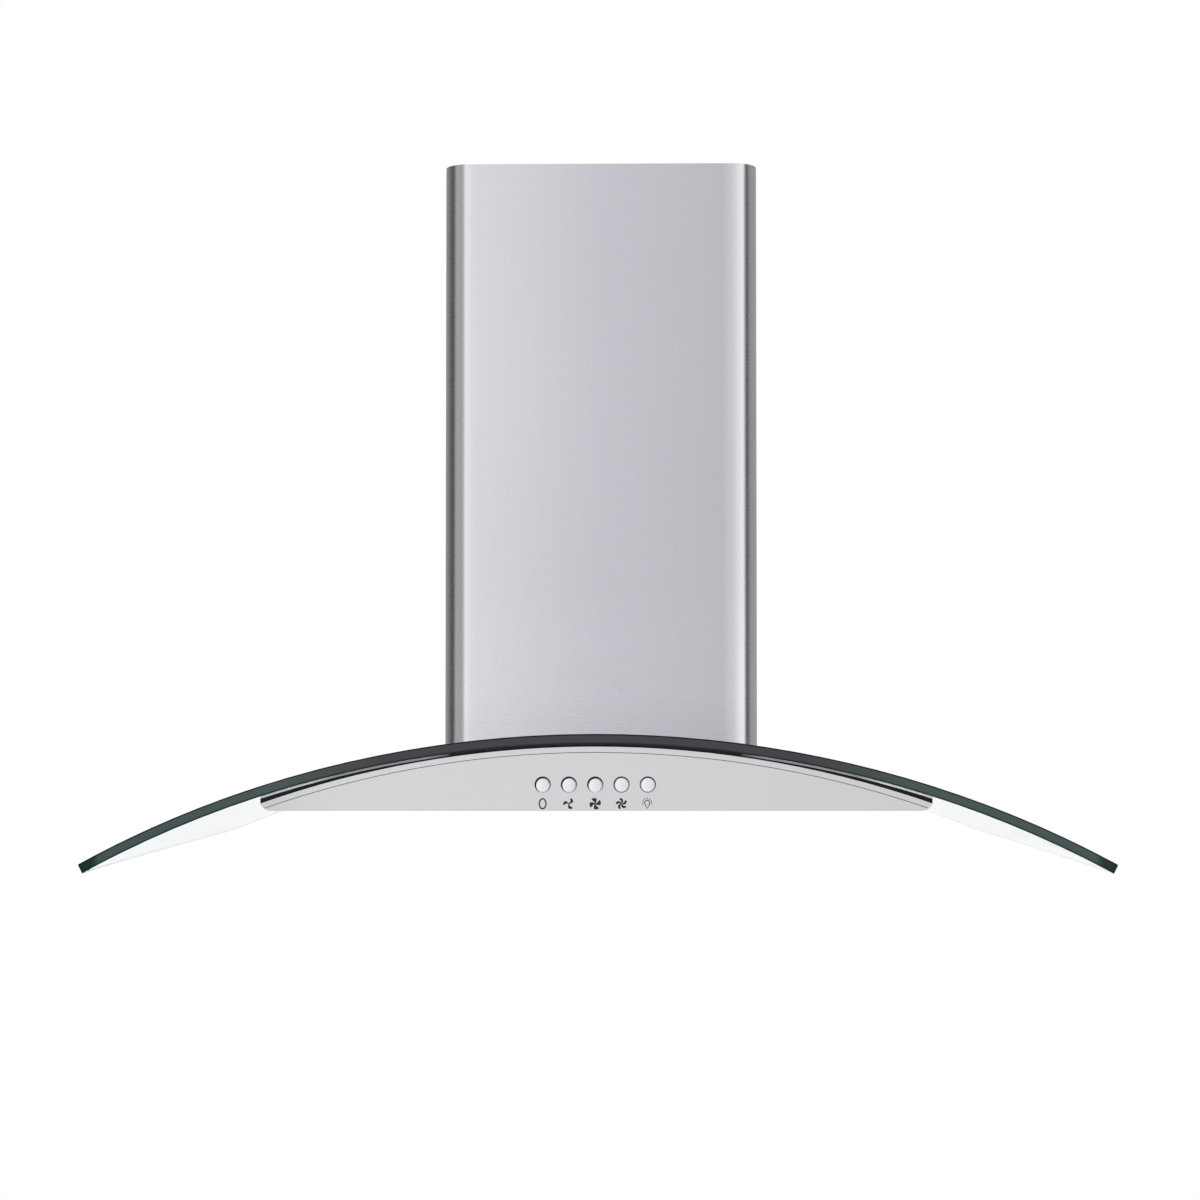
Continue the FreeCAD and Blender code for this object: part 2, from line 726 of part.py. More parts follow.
def volute(grow):
    """Face of the scroll's outline in the YZ plane, grown outward by a wall."""
    first = scroll_start_radius + grow
    second = first + scroll_step
    third = second + scroll_step
    y, z = -fan_depth, fan_height
    centre_two = -scroll_step
    centre_three = scroll_step

    def point(u, v):
        return at(0, y + u, z + v)

    diagonal = math.sqrt(0.5)
    left = centre_two - third
    start_v = math.sqrt(first ** 2 - grow ** 2)
    lean = (math.pi / 2 - math.asin(grow / first)) / 2
    lines = [
        Part.LineSegment(point(grow, scroll_top - z), point(grow, start_v)),
        Part.Arc(point(grow, start_v), point(first * math.cos(lean), first * math.sin(lean)),
                 point(first, 0)),
        Part.Arc(point(first, 0), point(centre_two + second * diagonal, -second * diagonal),
                 point(centre_two, -second)),
        Part.Arc(point(centre_two, -second),
                 point(centre_two - third * diagonal, centre_three - third * diagonal),
                 point(left, centre_three)),
        Part.LineSegment(point(left, centre_three), point(left, scroll_top - z)),
        Part.LineSegment(point(left, scroll_top - z), point(grow, scroll_top - z)),
    ]
    return Part.Face(Part.Wire([line.toShape() for line in lines]))


def prism_x(face, low, high):
    moved = face.copy()
    moved.translate(at(low, 0, 0))
    return moved.extrude(at(high - low, 0, 0))


def make_scroll():
    outside = prism_x(volute(scroll_wall), -scroll_half, scroll_half)
    add("scroll_wrap", outside.cut(prism_x(volute(0), -scroll_half, scroll_half)))
    for side in sides:
        low, high = span(side, scroll_half, scroll_half + scroll_wall)
        cheek = prism_x(volute(scroll_wall), low, high)
        axis_in = at(side * scroll_half, -fan_depth, fan_height)
        axis_out = at(side * (scroll_half + scroll_wall + inlet_lip), -fan_depth, fan_height)
        lip = rod(inlet_radius + scroll_wall, axis_in, axis_out)
        add("scroll_side_" + side_names[side], joined([cheek, lip]).cut(rod(inlet_radius, axis_in, axis_out)))


def wire_box(x, y, z):
    corners = [at(x[1], y[1], z), at(x[0], y[1], z), at(x[0], y[0], z), at(x[1], y[0], z)]
    return Part.makePolygon(corners + corners[:1])


def wire_round(radius, z):
    """Circle in four arcs that start at the corners' directions."""
    arcs = []
    for quarter in range(4):
        angles = [math.pi / 4 + quarter * math.pi / 2 + share * math.pi / 2 for share in (0, 0.5, 1)]
        points = [at(radius * math.cos(a), collar_y + radius * math.sin(a), z) for a in angles]
        arcs.append(Part.Arc(*points).toShape())
    return Part.Wire(arcs)


def make_outlet():
    throat_y = (-fan_depth - throat, -fan_depth)
    top = box_top - sheet

    def funnel(grow):
        x = (-scroll_half - grow, scroll_half + grow)
        low = wire_box(x, (throat_y[0] - grow, throat_y[1] + grow), scroll_top)
        return Part.makeLoft([low, wire_round(collar_radius - collar_wall + grow, top)], True)

    add("outlet_adaptor", funnel(scroll_wall).cut(funnel(0)))

    def level(z):
        return at(0, collar_y, z)

    bore = collar_radius - collar_wall
    pipe = tube(collar_radius, bore, level(box_top), level(collar_top))
    rim = tube(collar_radius + collar_flange, bore, level(box_top), level(box_top + collar_flange_thickness))
    ledge_top = flap_z - flap_thickness / 2 - moving_gap
    ledge = tube(bore + sheet, bore - flap_ledge, level(ledge_top - flap_ledge_thickness), level(ledge_top))
    collar = joined([pipe, rim, ledge])
    pins = []
    for side, name in ((-1, "front"), (1, "rear")):
        y = collar_y + side * flap_axis_offset
        far = math.sqrt(collar_radius ** 2 - flap_axis_offset ** 2) - flap_pin_inset
        pins.append(rod(flap_pin_radius, at(-far, y, flap_z), at(far, y, flap_z)))
        start, end = at(-collar_radius, y, flap_z), at(collar_radius, y, flap_z)
        collar = collar.cut(rod(flap_pin_radius, start, end))
        disc = rod(bore - flap_edge_gap, level(flap_z - flap_thickness / 2),
                   level(flap_z + flap_thickness / 2))
        depth = (y, y + collar_radius) if side > 0 else (y - collar_radius, y)
        leaf = disc.common(across(collar_radius, depth, (box_top, collar_top)))
        knuckle = rod(flap_knuckle_radius, at(-flap_knuckle_half, y, flap_z),
                      at(flap_knuckle_half, y, flap_z))
        add("flap_" + name, joined([leaf, knuckle]).cut(rod(flap_pin_radius + flap_pin_gap, start, end)))
    add("outlet_collar", collar)
    add("flap_pins", Part.makeCompound(pins))


def make_impeller():
    centre_y, centre_z = -fan_depth, fan_height

    def along(x):
        return at(x, centre_y, centre_z)

    root_radius = impeller_radius - blade_length
    half_ring = impeller_ring / 2
    pieces = [rod(impeller_radius, along(-half_ring), along(half_ring)),
              rod(hub_radius, along(-hub_length / 2), along(hub_length / 2))]
    for side in sides:
        low, high = span(side, impeller_half_length - impeller_ring, impeller_half_length)
        pieces.append(tube(impeller_radius, root_radius, along(low), along(high)))
    chord = blade_length / math.cos(math.radians(blade_tilt))
    for index in range(blade_count):
        blade = across(impeller_half_length, (-blade_thickness / 2, blade_thickness / 2),
                       (-chord / 2, chord / 2))
        blade.rotate(at(0, 0, 0), at(1, 0, 0), blade_tilt)
        blade.translate(at(0, 0, impeller_radius - blade_length / 2))
        blade.rotate(at(0, 0, 0), at(1, 0, 0), 360.0 * index / blade_count)
        blade.translate(along(0))
        pieces.append(blade)
    limit = tube(impeller_radius, root_radius, along(-impeller_half_length),
                 along(impeller_half_length))
    blades = [piece.common(limit) for piece in pieces[4:]]
    wheel = joined(pieces[:4] + blades)
    add("impeller", wheel.cut(rod(shaft_radius, along(-hub_length), along(hub_length))))

    motor_near = -hub_length / 2 - motor_hub_gap
    motor_far = motor_near - motor_length
    shaft_bore = shaft_radius + shaft_gap
    case = rod(motor_radius, along(motor_far), along(motor_near))
    case = case.makeFillet(motor_round, case.Edges[:1] + case.Edges[2:])
    case = case.cut(rod(shaft_bore, along(motor_far + spider_thickness), along(motor_near)))
    add("motor", case)
    spider_face = scroll_half + scroll_wall + inlet_lip
    shaft_start = along(motor_far + 2 * spider_thickness)
    add("motor_shaft", rod(shaft_radius, shaft_start, along(spider_face + spider_thickness)))

    for side, name, bore in ((-1, "motor_bracket", 0), (1, "bearing_bracket", shaft_bore)):
        low, high = span(side, spider_face, spider_face + spider_thickness)
        rim = inlet_radius + scroll_wall
        parts = [tube(rim, rim - spider_ring, along(low), along(high)),
                 rod(spider_hub_radius, along(low), along(high))]
        for arm in range(spider_arm_count):
            bar = block((low, high), (-spider_arm / 2, spider_arm / 2),
                        (0, inlet_radius - spider_ring / 2))
            bar.rotate(at(0, 0, 0), at(1, 0, 0), 360.0 * arm / spider_arm_count)
            bar.translate(at(0, centre_y, centre_z))
            parts.append(bar)
        if side < 0:
            parts.append(rod(spider_hub_radius, along(low), along(motor_far)))
        spider = joined(parts)
        if bore:
            spider = spider.cut(rod(bore, along(low), along(high)))
        add(name, spider)


def make_junction():
    near, far = half_box, half_box + junction_width
    y = (-junction_front, -junction_front + junction_depth)
    z = (junction_bottom, junction_bottom + junction_height)
    wall = junction_wall
    case = block((near, far), y, z)
    inside_y, inside_z = (y[0] + wall, y[1] - wall), (z[0] + wall, z[1] - wall)
    case = case.cut(block((near + wall, far + overrun), inside_y, inside_z))
    middle_x, middle_y = (near + far) / 2, (y[0] + y[1]) / 2

    def level(height):
        return at(middle_x, middle_y, height)

    case = case.cut(rod(gland_radius, level(z[1] - overrun), level(z[1] + overrun)))
    add("junction_box", case)
    add("junction_cover", block((far, far + wall), y, z))
    gland = joined([rod(gland_radius, level(z[1] - 2 * wall), level(z[1] - 2 * wall + gland_length)),
                    rod(gland_collar_radius, level(z[1]), level(z[1] + gland_collar_height))])
    add("cable_gland", gland.cut(rod(gland_bore_radius, level(z[1] - 2 * wall), level(z[1] + gland_length))))
    seat_x = near + wall + capacitor_radius
    add("capacitor", rod(capacitor_radius, at(seat_x, middle_y, z[0] + wall),
                         at(seat_x, middle_y, z[0] + wall + capacitor_length)))


def chimney_shell(half, front, rear, corner, z):
    """Folded sheet with rounded front corners and two flanges along the wall."""
    outer = across(half, (front, rear), z)
    outer = outer.makeFillet(corner, upright_edges(outer, front))
    inner = across(half - chimney_sheet, (front + chimney_sheet, rear - chimney_sheet), z)
    inner = inner.makeFillet(corner - chimney_sheet, upright_edges(inner, front + chimney_sheet))
    slot = across(half - chimney_flange, (rear - 2 * chimney_sheet, rear + overrun), z)
    return outer.cut(inner).cut(slot)


def make_chimney():
    half = half_chimney
    lower = chimney_shell(half, -chimney_depth, 0, chimney_corner, (0, chimney_top))
    lower = lower.cut(arch(glass_crown + chimney_seat_gap, glass_radius + chimney_seat_gap))
    upper = chimney_shell(upper_half, -chimney_depth + upper_step, -upper_step, chimney_corner - upper_step,
                          (upper_bottom, upper_top))
    feet, screws = [], []
    foot_y = (-foot_front, -foot_front + foot_depth)
    foot_z = (foot_bottom, foot_bottom + foot_height)
    wall_x = half - chimney_sheet
    middle_y = (foot_y[0] + foot_y[1]) / 2
    middle_z = (foot_z[0] + foot_z[1]) / 2
    for side in sides:
        foot = joined([block(span(side, half_box, half_box + foot_sheet), foot_y, foot_z),
                       block(span(side, half_box, wall_x), foot_y, (foot_z[0], foot_z[0] + foot_sheet)),
                       block(span(side, wall_x - foot_sheet, wall_x), foot_y, foot_z)])
        head = rod(pan_head_radius, at(side * half, middle_y, middle_z),
                   at(side * (half + pan_head_height), middle_y, middle_z))
        shank = rod(screw_radius, at(side * (wall_x - 2 * foot_sheet), middle_y, middle_z),
                    at(side * (half + pan_head_height), middle_y, middle_z))
        feet.append(foot.cut(shank))
        lower = lower.cut(shank)
        screws.append(joined([head, shank]))
    add("chimney_lower", lower)
    add("chimney_brackets", Part.makeCompound(feet))
    for x, y in screw_places():
        deck_under = arch_z(abs(x), body_crown - sheet, body_radius - sheet)
        shank = rod(screw_radius, at(x, y, deck_under - screw_head_height), at(x, y, body_crown + overrun))
        head = rod(screw_head_radius, at(x, y, deck_under - screw_head_height), at(x, y, body_crown))
        screws.append(joined([shank.common(body_arch(-box_flange_sheet)), head.common(body_arch(sheet))]))
    add("sheet_screws", Part.makeCompound(screws))
    make_ceiling_bracket(upper)


def make_ceiling_bracket(upper):
    z = (ceiling_top - ceiling_height, ceiling_top)
    middle_z = (z[0] + z[1]) / 2
    wall_x = upper_half - chimney_sheet
    jog_y = -ceiling_sheet - ceiling_jog
    parts = [across(ceiling_half_width, (-ceiling_sheet, 0), z)]
    for side in sides:
        jog = span(side, ceiling_half_width - ceiling_sheet, ceiling_half_width)
        parts.append(block(jog, (jog_y, 0), z))
        arm = span(side, ceiling_half_width - ceiling_sheet, wall_x)
        parts.append(block(arm, (jog_y - ceiling_sheet, jog_y), z))
        parts.append(block(span(side, wall_x - ceiling_tab_sheet, wall_x), (jog_y - ceiling_tab, jog_y), z))
    bracket = joined(parts)
    for x in (-ceiling_hole_spacing / 2, ceiling_hole_spacing / 2):
        bracket = bracket.cut(rod(ceiling_hole_radius, at(x, -overrun, middle_z), at(x, overrun, middle_z)))
    screws = []
    screw_y = jog_y - ceiling_tab / 2
    for side in sides:
        inner = wall_x - ceiling_tab_sheet
        head = rod(screw_head_radius, at(side * (inner - screw_head_height), screw_y, middle_z),
                   at(side * inner, screw_y, middle_z))
        shank = rod(screw_radius, at(side * (inner - screw_head_height), screw_y, middle_z),
                    at(side * upper_half, screw_y, middle_z))
        bracket = bracket.cut(shank)
        upper = upper.cut(shank)
        screws.append(joined([head, shank]))
    add("chimney_upper", upper)
    add("ceiling_bracket", bracket)
    add("ceiling_bracket_screws", Part.makeCompound(screws))


make_glass()
make_glass_fixings()
make_body()
make_front()
make_buttons()
for one_side in sides:
    make_filter(one_side)
make_filter_mounts()
make_lamps()
make_blower_box()
make_scroll()
make_outlet()
make_impeller()
make_junction()
make_chimney()

os.makedirs("parts", exist_ok=True)
for node, shape in nodes.items():
    shape.exportStep("parts/" + node + ".step")
    print(node, len(shape.Solids), shape.isValid(), round(shape.Volume))
print(len(nodes), "nodes")
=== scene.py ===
# %% [markdown]
# # A glass canopy range hood
# The hood hangs on a kitchen wall: an arched pane of glass, a low steel body with five push
# buttons, and a tall steel chimney that hides the blower. Its solids and its moving bodies come
# ready made from the frame. This lesson gives them their looks, and adds what is too fine for
# solids: the printed pictograms, the net of the grease filters and the cut edges of the glass.

# %% Load the frame
import bpy
import bmesh
import math
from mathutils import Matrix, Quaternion, Vector


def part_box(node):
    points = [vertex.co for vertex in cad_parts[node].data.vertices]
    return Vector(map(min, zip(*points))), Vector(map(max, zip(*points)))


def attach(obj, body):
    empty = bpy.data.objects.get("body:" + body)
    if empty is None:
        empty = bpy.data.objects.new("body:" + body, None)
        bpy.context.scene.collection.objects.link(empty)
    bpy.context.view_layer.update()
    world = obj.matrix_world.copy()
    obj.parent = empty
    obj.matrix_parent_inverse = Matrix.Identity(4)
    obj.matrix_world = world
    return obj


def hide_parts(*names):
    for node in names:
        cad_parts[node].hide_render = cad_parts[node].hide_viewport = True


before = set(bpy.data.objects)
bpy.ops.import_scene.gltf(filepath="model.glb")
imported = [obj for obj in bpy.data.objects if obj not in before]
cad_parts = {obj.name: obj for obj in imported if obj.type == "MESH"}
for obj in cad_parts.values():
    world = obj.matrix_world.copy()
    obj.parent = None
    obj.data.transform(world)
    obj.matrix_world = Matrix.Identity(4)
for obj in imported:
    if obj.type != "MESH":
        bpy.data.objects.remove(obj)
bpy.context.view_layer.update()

# %% [markdown]
# ## Camera
# A long lens from about three metres keeps the hood's proportions. The camera stands level with
# the underside of the body, so that the base is seen exactly from the side and only the glass
# wings hang below it. It could look straight ahead and shift the whole picture, but a large shift
# would push the hood out of frame in other views. So it tilts up two degrees and shifts a little.

# %% Camera
photo_width = 1200
focal_pixels = 2987.0
tilt = math.radians(2.0)
turn = 0.0190
shift_pixels = 106.6
lens = bpy.data.cameras.new("hood_camera")
lens.sensor_width = 36.0
lens.lens = focal_pixels / photo_width * lens.sensor_width
lens.shift_y = shift_pixels / photo_width
camera = bpy.data.objects.new("hood_camera", lens)
camera.location = (0.0523, -3.013, 0.0)
camera.rotation_mode = "QUATERNION"
camera.rotation_quaternion = Quaternion((0, 0, 1), turn) @ Quaternion((1, 0, 0), math.pi / 2 + tilt)
bpy.context.scene.collection.objects.link(camera)
bpy.context.scene.camera = camera
bpy.context.scene.view_settings.view_transform = "Standard"
print("lens", round(lens.lens, 1), "mm, shift", round(lens.shift_y, 3))

# %% [markdown]
# ## Studio
# Steel shows what stands around it more than its own colour. The world is white where the camera,
# a reflection or a look through the glass meets it, and a plain grey where it only lights dull
# surfaces. Two tall curved screens stand round the hood, seen by reflections alone. Their tones
# draw the dark bands down the rounded corners of the chimney that tell the eye that the sheet is
# bent there. Black cards would do as well, but their edges would show as hard steps.

# %% World
world = bpy.data.worlds.new("studio")
bpy.context.scene.world = world
world.use_nodes = True
sky, sky_links = world.node_tree.nodes, world.node_tree.links
sky.clear()
ambient_strength = 0.62
dull = sky.new("ShaderNodeBackground")
dull.inputs["Color"].default_value = (1.0, 1.0, 1.0, 1.0)
dull.inputs["Strength"].default_value = ambient_strength
white = sky.new("ShaderNodeBackground")
white.inputs["Color"].default_value = (1.0, 1.0, 1.0, 1.0)
white.inputs["Strength"].default_value = 1.0
path = sky.new("ShaderNodeLightPath")
seen_or_mirrored = sky.new("ShaderNodeMath")
seen_or_mirrored.operation = "MAXIMUM"
seen_at_all = sky.new("ShaderNodeMath")
seen_at_all.operation = "MAXIMUM"
choice = sky.new("ShaderNodeMixShader")
out = sky.new("ShaderNodeOutputWorld")
sky_links.new(path.outputs["Is Camera Ray"], seen_or_mirrored.inputs[0])
sky_links.new(path.outputs["Is Glossy Ray"], seen_or_mirrored.inputs[1])
sky_links.new(seen_or_mirrored.outputs[0], seen_at_all.inputs[0])
sky_links.new(path.outputs["Is Transmission Ray"], seen_at_all.inputs[1])
sky_links.new(seen_at_all.outputs[0], choice.inputs["Fac"])
sky_links.new(dull.outputs[0], choice.inputs[1])
sky_links.new(white.outputs[0], choice.inputs[2])
sky_links.new(choice.outputs[0], out.inputs["Surface"])
print("world nodes", len(sky))

# %% Lamps
hood_middle = Vector((0.0, -0.2, 0.2))
lamp_size = 1.8


def soft_lamp(name, place, size, power):
    """A square lamp that points at the middle of the hood and is too soft to show in the steel."""
    lamp = bpy.data.lights.new(name, "AREA")
    lamp.size = size
    lamp.energy = power
    holder = bpy.data.objects.new(name, lamp)
    holder.location = place
    aim = hood_middle - Vector(place)
    holder.rotation_mode = "QUATERNION"
    holder.rotation_quaternion = aim.to_track_quat("-Z", "Y")
    holder.visible_glossy = False
    holder.visible_transmission = False
    holder.visible_camera = False
    bpy.context.scene.collection.objects.link(holder)
    return holder


soft_lamp("lamp_left", (-2.2, -2.6, 2.4), lamp_size, 55.0)
soft_lamp("lamp_right", (2.6, -2.0, 1.4), lamp_size, 22.0)
soft_lamp("lamp_behind", (0.6, 2.8, 2.2), lamp_size, 20.0)
print("three soft lamps")


# %% Mesh helper
def new_mesh(name, points, faces):
    """An object made of points in metres and faces that list their points."""
    mesh = bpy.data.meshes.new(name)
    mesh.from_pydata([tuple(p) for p in points], [], faces)
    mesh.validate()
    thing = bpy.data.objects.new(name, mesh)
    bpy.context.scene.collection.objects.link(thing)
    return thing


# %% Screens seen only by reflections
def tone_at(tones, angle):
    """The tone of a screen at an angle, read between the entries of its list."""
    for (start, low), (end, high) in zip(tones, tones[1:]):
        if angle <= end:
            return low + (high - low) * (angle - start) / (end - start)
    return tones[-1][1]


def screen(name, side, tones, low=-1.3, high=2.8, radius=3.6, steps=70):
    """A tall curved screen at one side. Its tones change with the angle from the front."""
    points, shades, faces = [], [], []
    for i in range(steps + 1):
        angle = tones[0][0] + (tones[-1][0] - tones[0][0]) * i / steps
        x, y = side * radius * math.sin(math.radians(angle)), -radius * math.cos(math.radians(angle))
        points += [(x, y, low), (x, y, high)]
        shades += [tone_at(tones, angle)] * 2
    for i in range(steps):
        faces.append((2 * i, 2 * i + 2, 2 * i + 3, 2 * i + 1))
    sheet = new_mesh(name, points, faces)
    layer = sheet.data.color_attributes.new("tone", "FLOAT_COLOR", "POINT")
    for i, shade in enumerate(shades):
        layer.data[i].color = (shade, shade, shade, 1.0)
    paint = bpy.data.materials.new(name)
    paint.use_nodes = True
    nodes = paint.node_tree.nodes
    nodes.clear()
    tone = nodes.new("ShaderNodeAttribute")
    tone.attribute_name = "tone"
    glow = nodes.new("ShaderNodeEmission")
    end_node = nodes.new("ShaderNodeOutputMaterial")
    paint.node_tree.links.new(tone.outputs["Color"], glow.inputs["Color"])
    paint.node_tree.links.new(glow.outputs[0], end_node.inputs["Surface"])
    sheet.data.materials.append(paint)
    sheet.visible_camera = False
    sheet.visible_diffuse = False
    sheet.visible_transmission = False
    sheet.visible_shadow = False
    return sheet


left_tones = [(24, 1.0), (27, 0.70), (31, 0.46), (40, 0.43), (56, 0.48), (64, 0.50), (70, 0.36), (76, 0.10),
              (88, 0.07), (96, 0.12), (104, 0.19), (120, 0.29), (136, 0.35), (165, 0.37)]
right_tones = [(54, 1.0), (57, 0.72), (61, 0.24), (66, 0.07), (73, 0.06), (79, 0.14), (86, 0.31),
               (94, 0.44), (126, 0.46), (165, 0.50)]
screen("screen_left", -1, left_tones)
screen("screen_right", 1, right_tones)
print("two screens")

# %% [markdown]
# ## Floor
# The hood hangs, so the floor only has to catch its faint shadow in views from above. It lies low
# enough to stay out of the front view and under every view from below. It fades out into plain
# white all round, so that no edge of it shows, and the steel does not mirror it.

# %% Floor
floor_level = -4.5
floor_half = 6.0
corners = [(-floor_half, -floor_half, 0.0), (floor_half, -floor_half, 0.0),
           (floor_half, floor_half, 0.0), (-floor_half, floor_half, 0.0)]
floor = new_mesh("floor", corners, [(0, 1, 2, 3)])
floor.location.z = floor_level
floor.visible_glossy = False
print("floor at", floor_level)

# %% Floor paint that fades out
fade_start, fade_end = 1.5, 5.5
floor_paint = bpy.data.materials.new("pale_floor")
floor_paint.use_nodes = True
floor_shader = floor_paint.node_tree.nodes["Principled BSDF"]
floor_shader.inputs["Base Color"].default_value = (0.93, 0.93, 0.93, 1.0)
floor_shader.inputs["Roughness"].default_value = 0.9
floor_shader.inputs["Specular IOR Level"].default_value = 0.1
floor_nodes, floor_links = floor_paint.node_tree.nodes, floor_paint.node_tree.links
floor_place = floor_nodes.new("ShaderNodeTexCoord")
from_hood = floor_nodes.new("ShaderNodeVectorMath")
from_hood.operation = "LENGTH"
fade = floor_nodes.new("ShaderNodeMapRange")
fade.interpolation_type = "SMOOTHSTEP"
fade.inputs["From Min"].default_value = fade_start
fade.inputs["From Max"].default_value = fade_end
clear = floor_nodes.new("ShaderNodeBsdfTransparent")
faded = floor_nodes.new("ShaderNodeMixShader")
floor_links.new(floor_place.outputs["Object"], from_hood.inputs[0])
floor_links.new(from_hood.outputs["Value"], fade.inputs["Value"])
floor_links.new(fade.outputs["Result"], faded.inputs["Fac"])
floor_links.new(floor_shader.outputs[0], faded.inputs[1])
floor_links.new(clear.outputs[0], faded.inputs[2])
floor_links.new(faded.outputs[0], floor_nodes["Material Output"].inputs["Surface"])
floor.data.materials.append(floor_paint)
print("floor fades between", fade_start, "and", fade_end, "metres from below the hood")

# %% [markdown]
# ## Helpers for finishes
# Every finish below is one shader with a few noises on it. A noise in object space needs no
# unwrapping: it is as if each piece were cut out of one large block, and it moves with its piece.
# Stretching the noise turns specks into brush marks. The same noise then tints the colour, varies
# the roughness and lifts the surface a little, so that all three agree as they do on real metal.

# %% A finish and its noise
def start_finish(name, colour, metal, rough):
    """A new material, its node tree and its shader, with the plain values set."""
    finish = bpy.data.materials.new(name)
    finish.use_nodes = True
    tree = finish.node_tree
    shader = tree.nodes["Principled BSDF"]
    shader.inputs["Base Color"].default_value = (*colour, 1.0)
    shader.inputs["Metallic"].default_value = metal
    shader.inputs["Roughness"].default_value = rough
    return finish, tree, shader


def grain(tree, stretch, detail=2.0):
    """Noise in object space, repeated so many times a metre along each axis."""
    place = tree.nodes.new("ShaderNodeTexCoord")
    fit = tree.nodes.new("ShaderNodeMapping")
    fit.inputs["Scale"].default_value = stretch
    noise = tree.nodes.new("ShaderNodeTexNoise")
    noise.inputs["Scale"].default_value = 1.0
    noise.inputs["Detail"].default_value = detail
    tree.links.new(place.outputs["Object"], fit.inputs["Vector"])
    tree.links.new(fit.outputs["Vector"], noise.inputs["Vector"])
    return noise.outputs["Fac"]


print("finishes start from one shader and a noise")


# %% Ramps and rescaling
def ramp(tree, value, stops):
    """Turns a grey value into colours; stops are (position, colour) pairs."""
    node = tree.nodes.new("ShaderNodeValToRGB")
    while len(node.color_ramp.elements) < len(stops):
        node.color_ramp.elements.new(0.5)
    for element, (position, colour) in zip(node.color_ramp.elements, stops):
        element.position = position
        element.color = (*colour, 1.0)
    tree.links.new(value, node.inputs["Fac"])
    return node.outputs["Color"]


def multiply(tree, one, two):
    """The product of two colours."""
    node = tree.nodes.new("ShaderNodeMix")
    node.data_type = "RGBA"
    node.blend_type = "MULTIPLY"
    node.inputs["Factor"].default_value = 1.0
    tree.links.new(one, node.inputs["A"])
    tree.links.new(two, node.inputs["B"])
    return node.outputs["Result"]


def rescale(tree, value, low, high, from_low=0.0, from_high=1.0):
    """Moves a value from one range to another."""
    node = tree.nodes.new("ShaderNodeMapRange")
    node.inputs["From Min"].default_value = from_low
    node.inputs["From Max"].default_value = from_high
    node.inputs["To Min"].default_value = low
    node.inputs["To Max"].default_value = high
    tree.links.new(value, node.inputs["Value"])
    return node.outputs["Result"]


print("ramps turn a noise into colours")


# %% Bumps and places
def lift(tree, shader, value, strength, depth):
    """A bump made from a grey value, with its depth in metres."""
    node = tree.nodes.new("ShaderNodeBump")
    node.inputs["Strength"].default_value = strength
    node.inputs["Distance"].default_value = depth
    tree.links.new(value, node.inputs["Height"])
    tree.links.new(node.outputs["Normal"], shader.inputs["Normal"])


def along(tree, axis):
    """The object's own coordinate along one axis, in metres."""
    place = tree.nodes.new("ShaderNodeTexCoord")
    split = tree.nodes.new("ShaderNodeSeparateXYZ")
    tree.links.new(place.outputs["Object"], split.inputs["Vector"])
    return split.outputs[axis]


def grey(level):
    """A colour without a tint."""
    return (level, level, level)


print("helpers ready")

# %% [markdown]
# ## Brushed steel
# The chimney, the front and the sides are stainless sheet, brushed along its length with a fine
# abrasive belt. The belt leaves short, straight, level scratches. They mirror the room sharply
# along themselves and smear it upwards, which is what the anisotropic setting of the shader does.
# A ramp across the hood is mixed under the scratches and paints light on the sheet: lighter at
# the left than at the right, and on the chimney a painted highlight where each rounded corner
# begins. The foot of the chimney mirrors the shaded deck under the glass, and a second ramp, up
# the sheet, paints the foot lighter to make up for that. The deck is brushed as well, since
# crystals of zinc would look restless through the pane.

# %% Brushed steel
half_span = 0.3
foot_low, foot_high = 0.06, 0.26
scratch_depth = 0.00006


def brushed_steel(name, marks, across, upright, press, foot=None):
    """Brushed stainless steel. marks is the stretch of the scratches; across and foot are ramps of painted
    light.
    """
    finish, tree, shader = start_finish(name, grey(0.62), 1.0, 0.27)
    scratches = grain(tree, marks, 3.0)
    clouds = grain(tree, (5.0, 5.0, 5.0), 1.0)
    painted_light_across = ramp(tree, rescale(tree, along(tree, "X"), 0.0, 1.0, -half_span, half_span), across)
    streaked = multiply(tree, painted_light_across, ramp(tree, scratches, [(0.25, grey(0.98)), (0.75, grey(1.0))]))
    tone = multiply(tree, streaked, ramp(tree, clouds, [(0.3, grey(0.985)), (0.7, grey(1.0))]))
    if foot:
        up = rescale(tree, along(tree, "Z"), 0.0, 1.0, foot_low, foot_high)
        tone = multiply(tree, tone, ramp(tree, up, foot))
    tree.links.new(tone, shader.inputs["Base Color"])
    tree.links.new(rescale(tree, scratches, 0.24, 0.32), shader.inputs["Roughness"])
    lift(tree, shader, scratches, press, scratch_depth)
    if upright:
        shader.inputs["Anisotropic"].default_value = 0.75
        shader.inputs["Anisotropic Rotation"].default_value = 0.25
        around = tree.nodes.new("ShaderNodeTangent")
        around.direction_type = "RADIAL"
        around.axis = "Z"
        tree.links.new(around.outputs["Tangent"], shader.inputs["Tangent"])
    return finish


print("scratches", scratch_depth, "metres deep")

